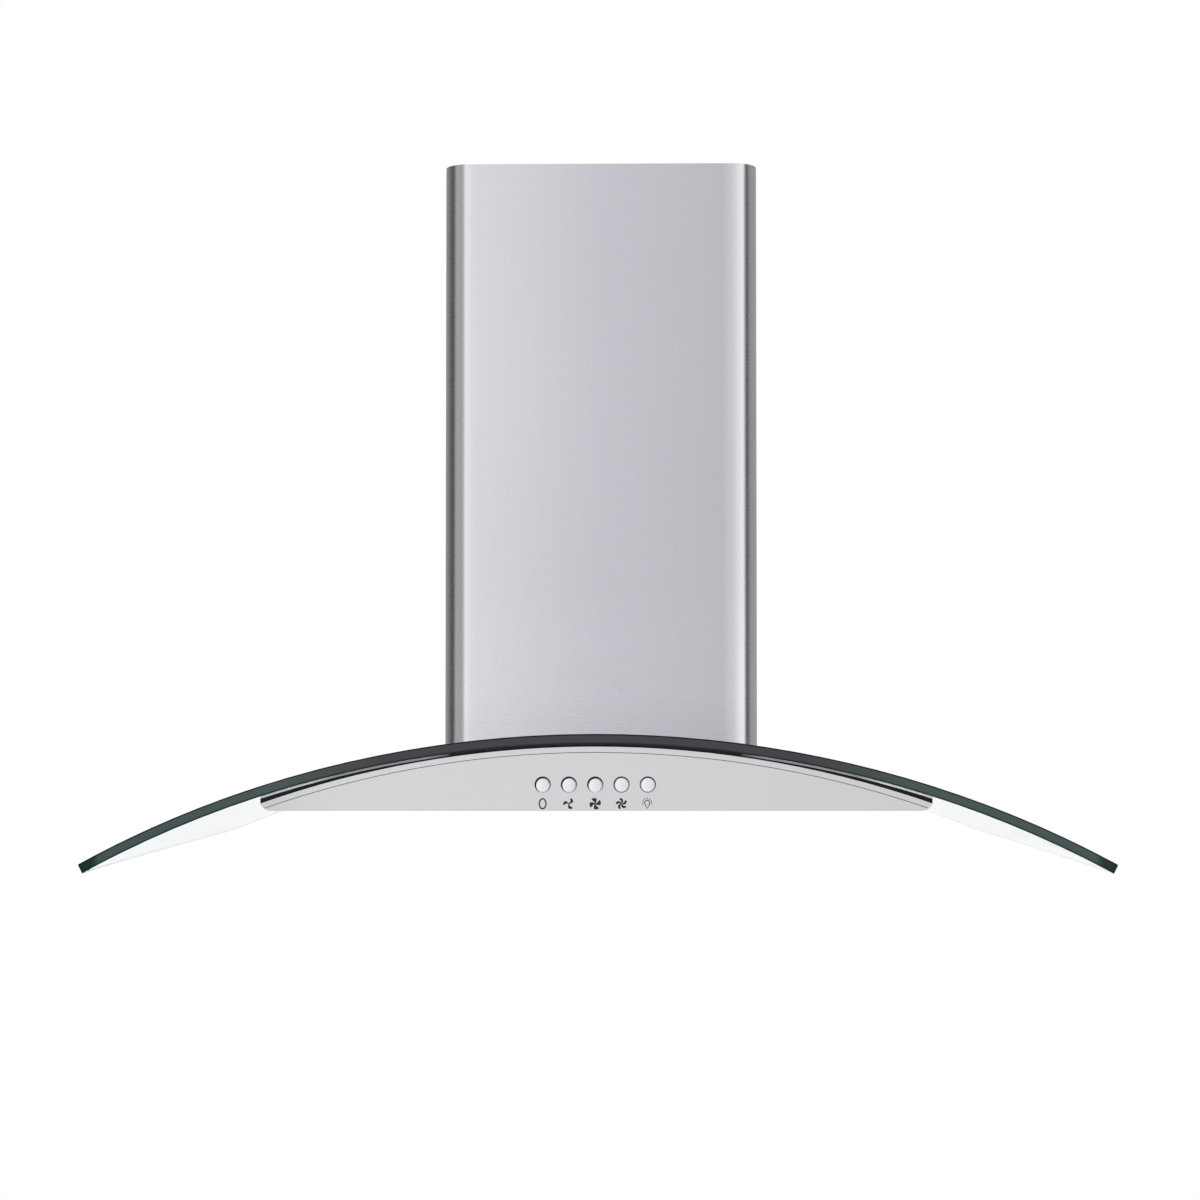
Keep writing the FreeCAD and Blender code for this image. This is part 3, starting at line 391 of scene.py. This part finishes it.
# %% Steel of the chimney
level_marks = (22.0, 22.0, 1900.0)
# Painted light: lighter at the left than at the right, with painted highlights where the rounded corners
# begin.
chimney_painted_light = [
    (0.2825, (0.784, 0.773, 0.801)), (0.290, (0.93, 0.918, 0.946)), (0.2955, (0.829, 0.818, 0.851)),
    (0.305, (0.784, 0.773, 0.823)), (0.5, (0.644, 0.633, 0.689)), (0.69, (0.566, 0.56, 0.608)),
    (0.707, (0.683, 0.678, 0.728)), (0.721, (0.93, 0.918, 0.958)), (0.729, (0.896, 0.885, 0.924)),
    (0.733, (0.683, 0.683, 0.717))]
# Painted light: the foot of the chimney is painted lighter than the sheet higher up.
chimney_foot_painted_light = [(0.25, grey(1.0)), (0.34, grey(0.973)), (0.48, grey(0.955)), (0.60, grey(0.933)),
                (0.74, grey(0.912)), (1.0, grey(0.903))]
chimney_steel = brushed_steel("chimney_steel", level_marks, chimney_painted_light, True, 0.025, chimney_foot_painted_light)
print("chimney's ramps have", len(chimney_painted_light), "and", len(chimney_foot_painted_light), "stops")

# %% Steel of the front, the base and the deck
flat_marks = (22.0, 1900.0, 22.0)
# The ramps of these three paint light that falls off from the left to the right.
front_steel = brushed_steel("front_steel", level_marks, [
    (0.02, (0.71, 0.71, 0.725)), (0.5, (0.665, 0.665, 0.68)), (0.98, (0.625, 0.62, 0.64))], True, 0.035)
base_steel = brushed_steel("base_steel", flat_marks, [
    (0.0, (0.66, 0.66, 0.675)), (0.5, (0.65, 0.65, 0.665)), (1.0, (0.63, 0.63, 0.645))], False, 0.10)
deck_steel = brushed_steel("deck_steel", flat_marks, [
    (0.0, (0.60, 0.60, 0.61)), (0.5, (0.59, 0.59, 0.60)), (1.0, (0.58, 0.58, 0.59))], False, 0.10)
print("brushed steel for front, base and deck")

# %% [markdown]
# ## Bright steel
# Domed bolts, screws, the motor's shaft and the lamp rims are polished. A perfect mirror looks
# false, so a fine noise leaves the faint haze of a polishing wheel in the roughness.

# %% Bright steel
bright_steel, tree, shader = start_finish("bright_steel", (0.88, 0.88, 0.895), 1.0, 0.09)
haze = grain(tree, (160.0, 160.0, 160.0), 4.0)
tree.links.new(ramp(tree, haze, [(0.3, (0.86, 0.86, 0.88)), (0.7, (0.90, 0.90, 0.912))]),
               shader.inputs["Base Color"])
tree.links.new(rescale(tree, haze, 0.05, 0.13), shader.inputs["Roughness"])
print("bright steel")

# %% [markdown]
# ## Button caps
# The caps are turned, plated and very slightly domed. Modelling a dome of a few hundredths of a
# millimetre would not show, so its light and shade are painted instead: each cap is light at its
# left, falls off into shade to the right and ends in a painted highlight on its rim. The place
# across the row is cut into five equal stretches, one for each cap, and every stretch runs through
# the same ramp.

# %% Button caps
def middle_of(node):
    """Where the middle of a node's box lies across the hood."""
    low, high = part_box(node)
    return (low.x + high.x) / 2


cap_places = [middle_of(f"button_{number}") for number in range(1, 6)]
cap_pitch = (cap_places[-1] - cap_places[0]) / (len(cap_places) - 1)
cap_steel, tree, shader = start_finish("cap_steel", (0.82, 0.82, 0.83), 1.0, 0.09)
row_start, row_end = cap_places[0] - cap_pitch / 2, cap_places[-1] + cap_pitch / 2
stretches = rescale(tree, along(tree, "X"), 0.0, len(cap_places), row_start, row_end)
within = tree.nodes.new("ShaderNodeMath")
within.operation = "FRACT"
tree.links.new(stretches, within.inputs[0])
# Painted light and shade on each cap, with a painted highlight at its right rim.
tree.links.new(ramp(tree, within.outputs[0], [
    (0.25, (0.96, 0.96, 0.97)), (0.29, (0.88, 0.88, 0.89)), (0.45, (0.81, 0.815, 0.84)),
    (0.60, (0.75, 0.76, 0.79)), (0.69, (0.70, 0.71, 0.74)), (0.72, (0.65, 0.66, 0.69)),
    (0.735, (0.84, 0.85, 0.87)), (0.76, (0.90, 0.90, 0.91))]), shader.inputs["Base Color"])
haze = grain(tree, (160.0, 160.0, 160.0), 4.0)
tree.links.new(rescale(tree, haze, 0.05, 0.13), shader.inputs["Roughness"])
mm_in_metre = 1000
print("caps every", round(cap_pitch * mm_in_metre, 2), "mm")

# %% [markdown]
# ## Dull steel
# The packing rails under the glass are mill finish strip. Towards the middle of the hood they lie
# in the shade between pane and body and look dark. Their outer ends catch the light. A ramp on the
# distance from the middle gives them that change without a lamp of its own.

# %% Dull steel
def distance_from_middle(tree):
    """How far left or right of the hood's middle a point lies, in metres."""
    sideways = tree.nodes.new("ShaderNodeMath")
    sideways.operation = "ABSOLUTE"
    tree.links.new(along(tree, "X"), sideways.inputs[0])
    return sideways.outputs[0]


dull_steel, tree, shader = start_finish("dull_steel", (0.80, 0.80, 0.81), 1.0, 0.35)
mill = grain(tree, (40.0, 600.0, 600.0), 3.0)
rail_reach = 0.3
outward = rescale(tree, distance_from_middle(tree), 0.0, 1.0, 0.0, rail_reach)
shade = ramp(tree, outward, [
    (0.41, grey(0.10)), (0.48, grey(0.42)), (0.75, grey(0.50)), (0.82, grey(1.0))])
mill_tone = ramp(tree, mill, [(0.3, (0.74, 0.74, 0.755)), (0.7, (0.85, 0.85, 0.86))])
tree.links.new(multiply(tree, shade, mill_tone), shader.inputs["Base Color"])
tree.links.new(rescale(tree, mill, 0.30, 0.42), shader.inputs["Roughness"])
print("dull steel")

# %% [markdown]
# ## Plated steel
# Brackets, the blower box and the rear plate are zinc plated. Zinc sets in crystals the size of a
# fingernail. Each cell of a Voronoi texture is one crystal with its own tone and its own gloss.

# %% Plated steel
plated_steel, tree, shader = start_finish("plated_steel", (0.60, 0.615, 0.63), 1.0, 0.36)
place = tree.nodes.new("ShaderNodeTexCoord")
crystals = tree.nodes.new("ShaderNodeTexVoronoi")
crystals_per_metre = 130.0
crystals.inputs["Scale"].default_value = crystals_per_metre
tree.links.new(place.outputs["Object"], crystals.inputs["Vector"])
crystal_tone = tree.nodes.new("ShaderNodeSeparateColor")
tree.links.new(crystals.outputs["Color"], crystal_tone.inputs["Color"])
zinc_tones = [(0.0, (0.53, 0.545, 0.565)), (1.0, (0.66, 0.67, 0.68))]
tree.links.new(ramp(tree, crystal_tone.outputs["Red"], zinc_tones), shader.inputs["Base Color"])
tree.links.new(rescale(tree, crystal_tone.outputs["Green"], 0.30, 0.46), shader.inputs["Roughness"])
zinc_depth = 0.00005
lift(tree, shader, grain(tree, (900.0, 900.0, 900.0)), 0.08, zinc_depth)
print("plated steel")

# %% [markdown]
# ## Aluminium
# The filters are plain aluminium, and so are the lamp cans and the motor's shell. It is duller
# and whiter than steel, with fine marks in every direction.

# %% Aluminium
plain_aluminium, tree, shader = start_finish("plain_aluminium", (0.76, 0.765, 0.77), 1.0, 0.38)
rub = grain(tree, (420.0, 420.0, 420.0), 5.0)
tree.links.new(ramp(tree, rub, [(0.3, (0.71, 0.715, 0.725)), (0.7, (0.80, 0.80, 0.805))]),
               shader.inputs["Base Color"])
tree.links.new(rescale(tree, rub, 0.32, 0.46), shader.inputs["Roughness"])
rub_depth = 0.00008
lift(tree, shader, rub, 0.15, rub_depth)
print("aluminium")

# %% [markdown]
# ## Plastics and rubber
# Moulds for these parts are spark eroded, which leaves a fine even grain. Black, grey and white
# plastic share one recipe. Rubber is the same with more grain and hardly any gloss.

# %% Plastics and rubber
def moulded(name, dark, light, rough, grain_depth):
    """A moulded part: a fine grain that shades the colour a little and breaks up the gloss."""
    finish, tree, shader = start_finish(name, light, 0.0, rough)
    texture = grain(tree, (1500.0, 1500.0, 1500.0), 1.0)
    worn = grain(tree, (30.0, 30.0, 30.0), 2.0)
    tree.links.new(ramp(tree, worn, [(0.3, dark), (0.7, light)]), shader.inputs["Base Color"])
    tree.links.new(rescale(tree, worn, rough - 0.05, rough + 0.05), shader.inputs["Roughness"])
    lift(tree, shader, texture, 0.25, grain_depth)
    return finish


fine_grain, smooth_grain, coarse_grain = 0.00005, 0.00004, 0.00010
black_plastic = moulded("black_plastic", (0.016, 0.016, 0.018), (0.024, 0.024, 0.027), 0.48, fine_grain)
grey_plastic = moulded("grey_plastic", (0.27, 0.28, 0.295), (0.32, 0.33, 0.345), 0.46, fine_grain)
white_plastic = moulded("white_plastic", (0.76, 0.76, 0.73), (0.83, 0.83, 0.81), 0.36, smooth_grain)
black_plastic.node_tree.nodes["Principled BSDF"].inputs["Specular IOR Level"].default_value = 0.15
black_rubber = moulded("black_rubber", (0.009, 0.009, 0.010), (0.015, 0.015, 0.016), 0.68, coarse_grain)
black_rubber.node_tree.nodes["Principled BSDF"].inputs["Specular IOR Level"].default_value = 0.2
print("plastics and rubber")

# %% [markdown]
# ## Lamp glass
# The lamp covers are frosted so that the bulb can't dazzle the cook. Light gets through them but
# no picture does, so they get some transmission and a rough, milky surface.

# %% Frosted glass
frosted_glass, tree, shader = start_finish("frosted_glass", (0.92, 0.92, 0.90), 0.0, 0.5)
shader.inputs["Transmission Weight"].default_value = 0.35
shader.inputs["IOR"].default_value = 1.5
frost = grain(tree, (700.0, 700.0, 700.0), 3.0)
tree.links.new(ramp(tree, frost, [(0.3, (0.89, 0.89, 0.875)), (0.7, (0.94, 0.94, 0.93))]),
               shader.inputs["Base Color"])
frost_depth = 0.00005
lift(tree, shader, frost, 0.2, frost_depth)
print("frosted glass")

# %% [markdown]
# ## Dress the solids
# Each solid of the frame keeps its shape and takes the finish that its real counterpart has.
# A list of finishes with the pieces under each is easier to check than one line for every piece.

# %% Dress the solids
dressing = {
    chimney_steel: ["chimney_lower", "chimney_upper"],
    front_steel: ["front_panel", "front_trim_strip"],
    base_steel: ["bottom_panel", "side_panel_left", "side_panel_right"],
    bright_steel: ["ceiling_bracket_screws", "glass_bolts", "lamp_bezel_left", "lamp_bezel_right",
                   "motor_shaft", "sheet_screws"],
    deck_steel: ["top_deck"],
    cap_steel: ["button_1", "button_2", "button_3", "button_4", "button_5"],
    dull_steel: ["glass_rails"],
    plated_steel: ["back_panel", "bearing_bracket", "blower_box", "ceiling_bracket", "chimney_brackets",
                   "filter_hooks", "filter_stop_rail", "flap_pins", "motor_bracket", "mounting_plate"],
    plain_aluminium: ["filter_frame_left", "filter_frame_right", "filter_mesh_left",
                      "filter_mesh_right", "lamp_cans", "motor"],
    black_plastic: ["button_guide", "cable_gland", "filter_magnets", "impeller", "outlet_adaptor",
                    "outlet_collar", "switch_block"],
    grey_plastic: ["filter_pull_left", "filter_pull_right", "flap_front", "flap_rear",
                   "scroll_side_left", "scroll_side_right", "scroll_wrap"],
    white_plastic: ["capacitor", "junction_box", "junction_cover"],
    black_rubber: ["glass_pads", "glass_seal"],
    frosted_glass: ["lamp_bulbs", "lamp_lens_left", "lamp_lens_right"],
}


def dress(thing, finish):
    """Gives an object one finish all over."""
    thing.data.materials.clear()
    thing.data.materials.append(finish)


for finish, names in dressing.items():
    for name in names:
        dress(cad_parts[name], finish)
undressed = set(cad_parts) - {name for names in dressing.values() for name in names}
print("still without a finish:", sorted(undressed))

# %% [markdown]
# ## The seam under the trim
# Trim and panel meet in a groove half a millimetre wide. Its floor is the flange of the trim,
# painted dark as the shade in the groove. The trim is copied, so that its flange can have a
# darker finish than its face. A drawn line would be simpler, but it would not sit in the groove.

# %% Seam
# Painted shade for the floor of the groove.
seam_painted_shade, tree, shader = start_finish("seam_painted_shade", (0.10, 0.10, 0.105), 0.3, 0.6)
tree.links.new(ramp(tree, grain(tree, (300.0, 300.0, 300.0)), [(0.3, grey(0.08)), (0.7, grey(0.12))]),
               shader.inputs["Base Color"])
panel_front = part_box("front_panel")[0].y
panel_radius = 2.045
groove_depth = 0.0008


def front_y(x):
    """Where the bowed front stands, at a distance from the middle."""
    return panel_front + panel_radius - math.sqrt(panel_radius ** 2 - x ** 2)


trim = bpy.data.objects.new("trim_strip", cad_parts["front_trim_strip"].data.copy())
bpy.context.scene.collection.objects.link(trim)
trim.data.materials.clear()
trim.data.materials.append(front_steel)
trim.data.materials.append(seam_painted_shade)
shaded = 0
for face in trim.data.polygons:
    if face.center.y > front_y(face.center.x) + groove_depth:
        face.material_index = 1
        shaded += 1
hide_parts("front_trim_strip")
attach(trim, "hood")
print("shaded faces", shaded, "of", len(trim.data.polygons))

# %% [markdown]
# ## The glass canopy
# The pane is clear on its faces, but its ground and polished edge is dark: looking in at the edge,
# one looks along the pane, through half a metre of faintly green glass. A ray tracer could find
# that by itself with absorption, at the price of noise. It is steadier to copy the pane, give the
# edge faces a finish of their own, and let the clear faces refract.
# The edge is green towards the tips, and slate in the middle, where the steel behind it is painted in.
# Two thin dark lines run along it where the corners are rounded off. The pane casts no shadow,
# because a renderer without caustics would darken all that stands under clear glass.

# %% Clear glass
clear_glass, tree, shader = start_finish("clear_glass", (0.85, 0.95, 0.947), 0.0, 0.0)
shader.inputs["Transmission Weight"].default_value = 1.0
shader.inputs["IOR"].default_value = 1.5
cast = grain(tree, (3.0, 3.0, 3.0), 0.0)
tree.links.new(ramp(tree, cast, [(0.3, (0.845, 0.947, 0.944)), (0.7, (0.855, 0.953, 0.950))]),
               shader.inputs["Base Color"])
print("clear glass")

# %% Where the pane's arch has its centre
pane_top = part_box("glass_canopy")[1].z
pane_radius = 0.960
pane_thickness = 0.0086
arch_centre = pane_top - pane_radius
print("arch centre at", round(arch_centre, 4))

# %% Edge glass
half_pane = 0.45
edge_glass, tree, shader = start_finish("edge_glass", (0.05, 0.06, 0.065), 0.0, 0.16)
shader.inputs["Specular IOR Level"].default_value = 0.15
# Green glass towards the tips; the slate middle is a painted view of the steel behind the edge.
edge_tint_and_painted_steel = ramp(tree, rescale(tree, distance_from_middle(tree), 0.0, 1.0, 0.0, half_pane), [
    (0.40, (0.052, 0.056, 0.064)), (0.50, (0.060, 0.074, 0.070)), (0.60, (0.062, 0.095, 0.091)),
    (0.955, (0.061, 0.095, 0.091)), (0.970, (0.009, 0.036, 0.026)), (1.0, (0.006, 0.033, 0.022))])
height = tree.nodes.new("ShaderNodeMath")
height.operation = "SUBTRACT"
tree.links.new(along(tree, "Z"), height.inputs[0])
height.inputs[1].default_value = arch_centre
spoke = tree.nodes.new("ShaderNodeCombineXYZ")
tree.links.new(along(tree, "X"), spoke.inputs["X"])
tree.links.new(height.outputs[0], spoke.inputs["Z"])
reach = tree.nodes.new("ShaderNodeVectorMath")
reach.operation = "LENGTH"
tree.links.new(spoke.outputs[0], reach.inputs[0])
through = rescale(tree, reach.outputs["Value"], 0.0, 1.0, pane_radius - pane_thickness, pane_radius)
lines = ramp(tree, through, [(0.07, grey(0.16)), (0.15, grey(0.75)), (0.26, grey(1.0)), (0.84, grey(1.0)),
                             (0.89, grey(0.08))])
tree.links.new(multiply(tree, edge_tint_and_painted_steel, lines), shader.inputs["Base Color"])
ripple_depth = 0.0002
lift(tree, shader, grain(tree, (60.0, 60.0, 60.0), 2.0), 0.03, ripple_depth)
print("edge glass")

# %% Glass of the rounded corners
arris_glass, tree, shader = start_finish("arris_glass", (0.008, 0.009, 0.012), 0.0, 0.2)
shader.inputs["Specular IOR Level"].default_value = 0.12
tree.links.new(ramp(tree, grain(tree, (80.0, 80.0, 80.0)), [(0.3, (0.006, 0.008, 0.010)),
                                                           (0.7, (0.010, 0.012, 0.015))]),
               shader.inputs["Base Color"])
print("arris glass")

# %% Canopy pane
face_lean, edge_lean = 0.995, 0.12
pane = bpy.data.objects.new("canopy_pane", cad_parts["glass_canopy"].data.copy())
bpy.context.scene.collection.objects.link(pane)
pane.data.materials.clear()
for finish in (clear_glass, edge_glass, arris_glass):
    pane.data.materials.append(finish)
counts = [0, 0, 0]
for face in pane.data.polygons:
    outward = Vector((face.center.x, 0.0, face.center.z - arch_centre)).normalized()
    lean = abs(face.normal.dot(outward))
    face.material_index = 0 if lean > face_lean else 1 if lean < edge_lean else 2
    counts[face.material_index] += 1
pane.visible_shadow = False
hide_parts("glass_canopy")
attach(pane, "hood")
print("pane faces: clear, edge, arris", counts)

# %% [markdown]
# ## Pictograms
# Under the buttons stand five printed signs: a nought for off, fans with three, four and five
# blades for the speeds, and a lamp. They are drawn flat, in millimetres, as strokes and blades,
# and then laid on the bowed front as a film of ink a tenth of a millimetre thick.

# %% Strokes
def stroke(points, width, closed):
    """Outline strips that follow a line of points: a list of four-cornered faces."""
    count = len(points)
    sides = []
    for i, (x, y) in enumerate(points):
        before = points[i - 1] if closed or i else points[i]
        after = points[(i + 1) % count] if closed or i < count - 1 else points[i]
        dx, dy = after[0] - before[0], after[1] - before[1]
        size = math.hypot(dx, dy)
        nx, ny = -dy / size * width / 2, dx / size * width / 2
        sides.append(((x + nx, y + ny), (x - nx, y - ny)))
    last = count if closed else count - 1
    strips = []
    for i in range(last):
        a, b = sides[i], sides[(i + 1) % count]
        strips.append([a[0], a[1], b[1], b[0]])
    return strips


print("strokes are ready")


# %% Blades and ovals
def fan_blades(number, first, profile):
    """The same curved blade repeated round a hub. A profile lists radii in mm and angles in degrees."""
    blades = []
    for i in range(number):
        turned = first + 360.0 / number * i
        blades.append([(r * math.cos(math.radians(turned + a)), r * math.sin(math.radians(turned + a)))
                       for r, a in profile])
    return blades


def ring_points(half_width, half_height, sharpness, steps=40):
    """An upright oval. A sharpness over one draws its sides in towards the top and the bottom."""
    points = []
    for i in range(steps):
        angle = 2 * math.pi * i / steps
        side = math.copysign(abs(math.sin(angle)) ** sharpness, math.sin(angle))
        points.append((half_width * side, half_height * math.cos(angle)))
    return points


print("blades and ovals are ready")


# %% Five signs
def lamp_sign():
    """A pear-shaped outline with seven short rays over it, in mm and degrees."""
    middle_x, middle_y, glass = -0.5, 0.7, 2.15
    glass_start, glass_sweep, steps = -38, 256, 24
    cap_tip = (-0.4, -4.1)
    first_ray, ray_step, rays = -9, 33, 7
    ray_reach = (3.25, 4.25)
    outline_width, ray_width = 0.7, 0.95
    bulb = []
    for i in range(steps + 1):
        angle = math.radians(glass_start + glass_sweep * i / steps)
        bulb.append((middle_x + glass * math.cos(angle), middle_y + glass * math.sin(angle)))
    bulb.append(cap_tip)
    strips = stroke(bulb, outline_width, True)
    for i in range(rays):
        angle = math.radians(first_ray + ray_step * i)
        ray = [(middle_x + r * math.cos(angle), middle_y + r * math.sin(angle)) for r in ray_reach]
        strips += stroke(ray, ray_width, False)
    return strips


broad_blade = [(0.4, 110), (0.4, -35), (1.15, 2), (2.05, 9), (3.05, 16), (4.1, 26), (4.5, 41), (4.8, 53),
               (5.1, 63), (4.7, 73), (3.75, 74), (3.0, 64), (2.4, 56), (1.6, 56), (0.8, 68)]
wide_blade = [(0.3, 130), (0.3, -10), (1.1, 46), (2.8, 66), (4.4, 73), (4.85, 90), (5.05, 108), (5.15, 127),
              (4.5, 131), (3.4, 128), (1.9, 121), (0.95, 110)]
slim_blade = [(0.45, 110), (0.45, 15), (1.2, 40), (2.0, 51), (2.9, 60), (3.65, 70), (4.3, 82), (4.75, 92),
              (4.95, 101), (4.7, 110), (4.0, 115), (3.3, 110), (2.6, 102), (1.9, 99), (1.1, 102)]
signs = [
    stroke(ring_points(2.85, 4.3, 1.12), 1.15, True),
    fan_blades(3, 0.0, broad_blade),
    fan_blades(4, 0.0, wide_blade),
    fan_blades(5, 0.0, slim_blade),
    lamp_sign(),
]
print("faces in each sign", [len(sign) for sign in signs])

# %% Printing ink
ink, tree, shader = start_finish("printing_ink", (0.03, 0.03, 0.034), 0.0, 0.55)
shader.inputs["Specular IOR Level"].default_value = 0.2
tree.links.new(ramp(tree, grain(tree, (2500.0, 2500.0, 2500.0), 2.0),
                    [(0.3, (0.020, 0.020, 0.023)), (0.7, (0.034, 0.034, 0.038))]),
               shader.inputs["Base Color"])
print("printing ink")

# %% Print the signs on the front
ink_gap = 0.00002
ink_film = 0.0001
weld_distance = 0.00001
sign_height = 0.0061
for number, sign in enumerate(signs, start=1):
    middle = middle_of(f"button_{number}")
    points, faces = [], []
    for outline in sign:
        start = len(points)
        for u, v in outline:
            x = middle + u / mm_in_metre
            points.append((x, front_y(x) - ink_gap, sign_height + v / mm_in_metre))
        faces.append(tuple(range(start, start + len(outline))))
    printed = new_mesh(f"pictogram_{number}", points, faces)
    shape = bmesh.new()
    shape.from_mesh(printed.data)
    bmesh.ops.remove_doubles(shape, verts=shape.verts, dist=weld_distance)
    for face in shape.faces:
        if face.normal.y > 0:
            face.normal_flip()
    shape.to_mesh(printed.data)
    shape.free()
    film = printed.modifiers.new("film", "SOLIDIFY")
    film.thickness = ink_film
    film.offset = 1.0
    dress(printed, ink)
    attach(printed, "hood")
print("five signs printed at", sign_height)

# %% [markdown]
# ## Filter nets
# A grease filter is a stack of expanded aluminium: sheet that is slit and pulled until each slit
# opens into a diamond. It could be a texture with holes, but light has to pass between the
# strands. Each strand is a zigzag that touches its neighbour at every other bend, so a net is a
# row of zigzags. Three layers, half a diamond apart, hide what is behind as the real stack does.

# %% Expanded net
strand_width, strand_thick = 0.0013, 0.0006
diamond_length, strand_pitch = 0.010, 0.0052
strand_gap = 0.0001
wave_share = 0.6


def zigzag_layer(points, faces, low, high, level, shift):
    """Adds one layer of strands between two corners, each strand a bent flat bar."""
    width, thick = strand_width, strand_thick
    columns = int((high.x - low.x) / (diamond_length / 2))
    rows = int((high.y - low.y - width) / strand_pitch)
    step_x = (high.x - low.x) / columns
    step_y = (high.y - low.y - width) / rows
    for row in range(rows):
        middle = low.y + width / 2 + step_y * (row + 0.5)
        start = len(points)
        for column in range(columns + 1):
            up = 1 if (column + row + shift) % 2 else -1
            x = low.x + step_x * column
            y = middle + up * (step_y / 2 - strand_gap)
            tip = level + up * thick * wave_share
            for dy, dz in ((-width / 2, -thick / 2), (width / 2, -thick / 2),
                           (width / 2, thick / 2), (-width / 2, thick / 2)):
                points.append((x, y + dy, tip + dz))
        for column in range(columns):
            a = start + 4 * column
            for i in range(4):
                j = (i + 1) % 4
                faces.append((a + i, a + j, a + 4 + j, a + 4 + i))
        end = start + 4 * columns
        faces.append((start, start + 3, start + 2, start + 1))
        faces.append((end, end + 1, end + 2, end + 3))


print("a strand is", strand_width, "metres wide")

# %% Nets of both filters
layer_inset = 0.0008
for side in ("left", "right"):
    low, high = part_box(f"filter_mesh_{side}")
    points, faces = [], []
    layers = [low.z + layer_inset, (low.z + high.z) / 2, high.z - layer_inset]
    for number, level in enumerate(layers):
        zigzag_layer(points, faces, low, high, level, number)
    net = new_mesh(f"filter_net_{side}", points, faces)
    dress(net, plain_aluminium)
    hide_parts(f"filter_mesh_{side}")
    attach(net, f"filter_{side}")
    print(net.name, len(faces), "faces")
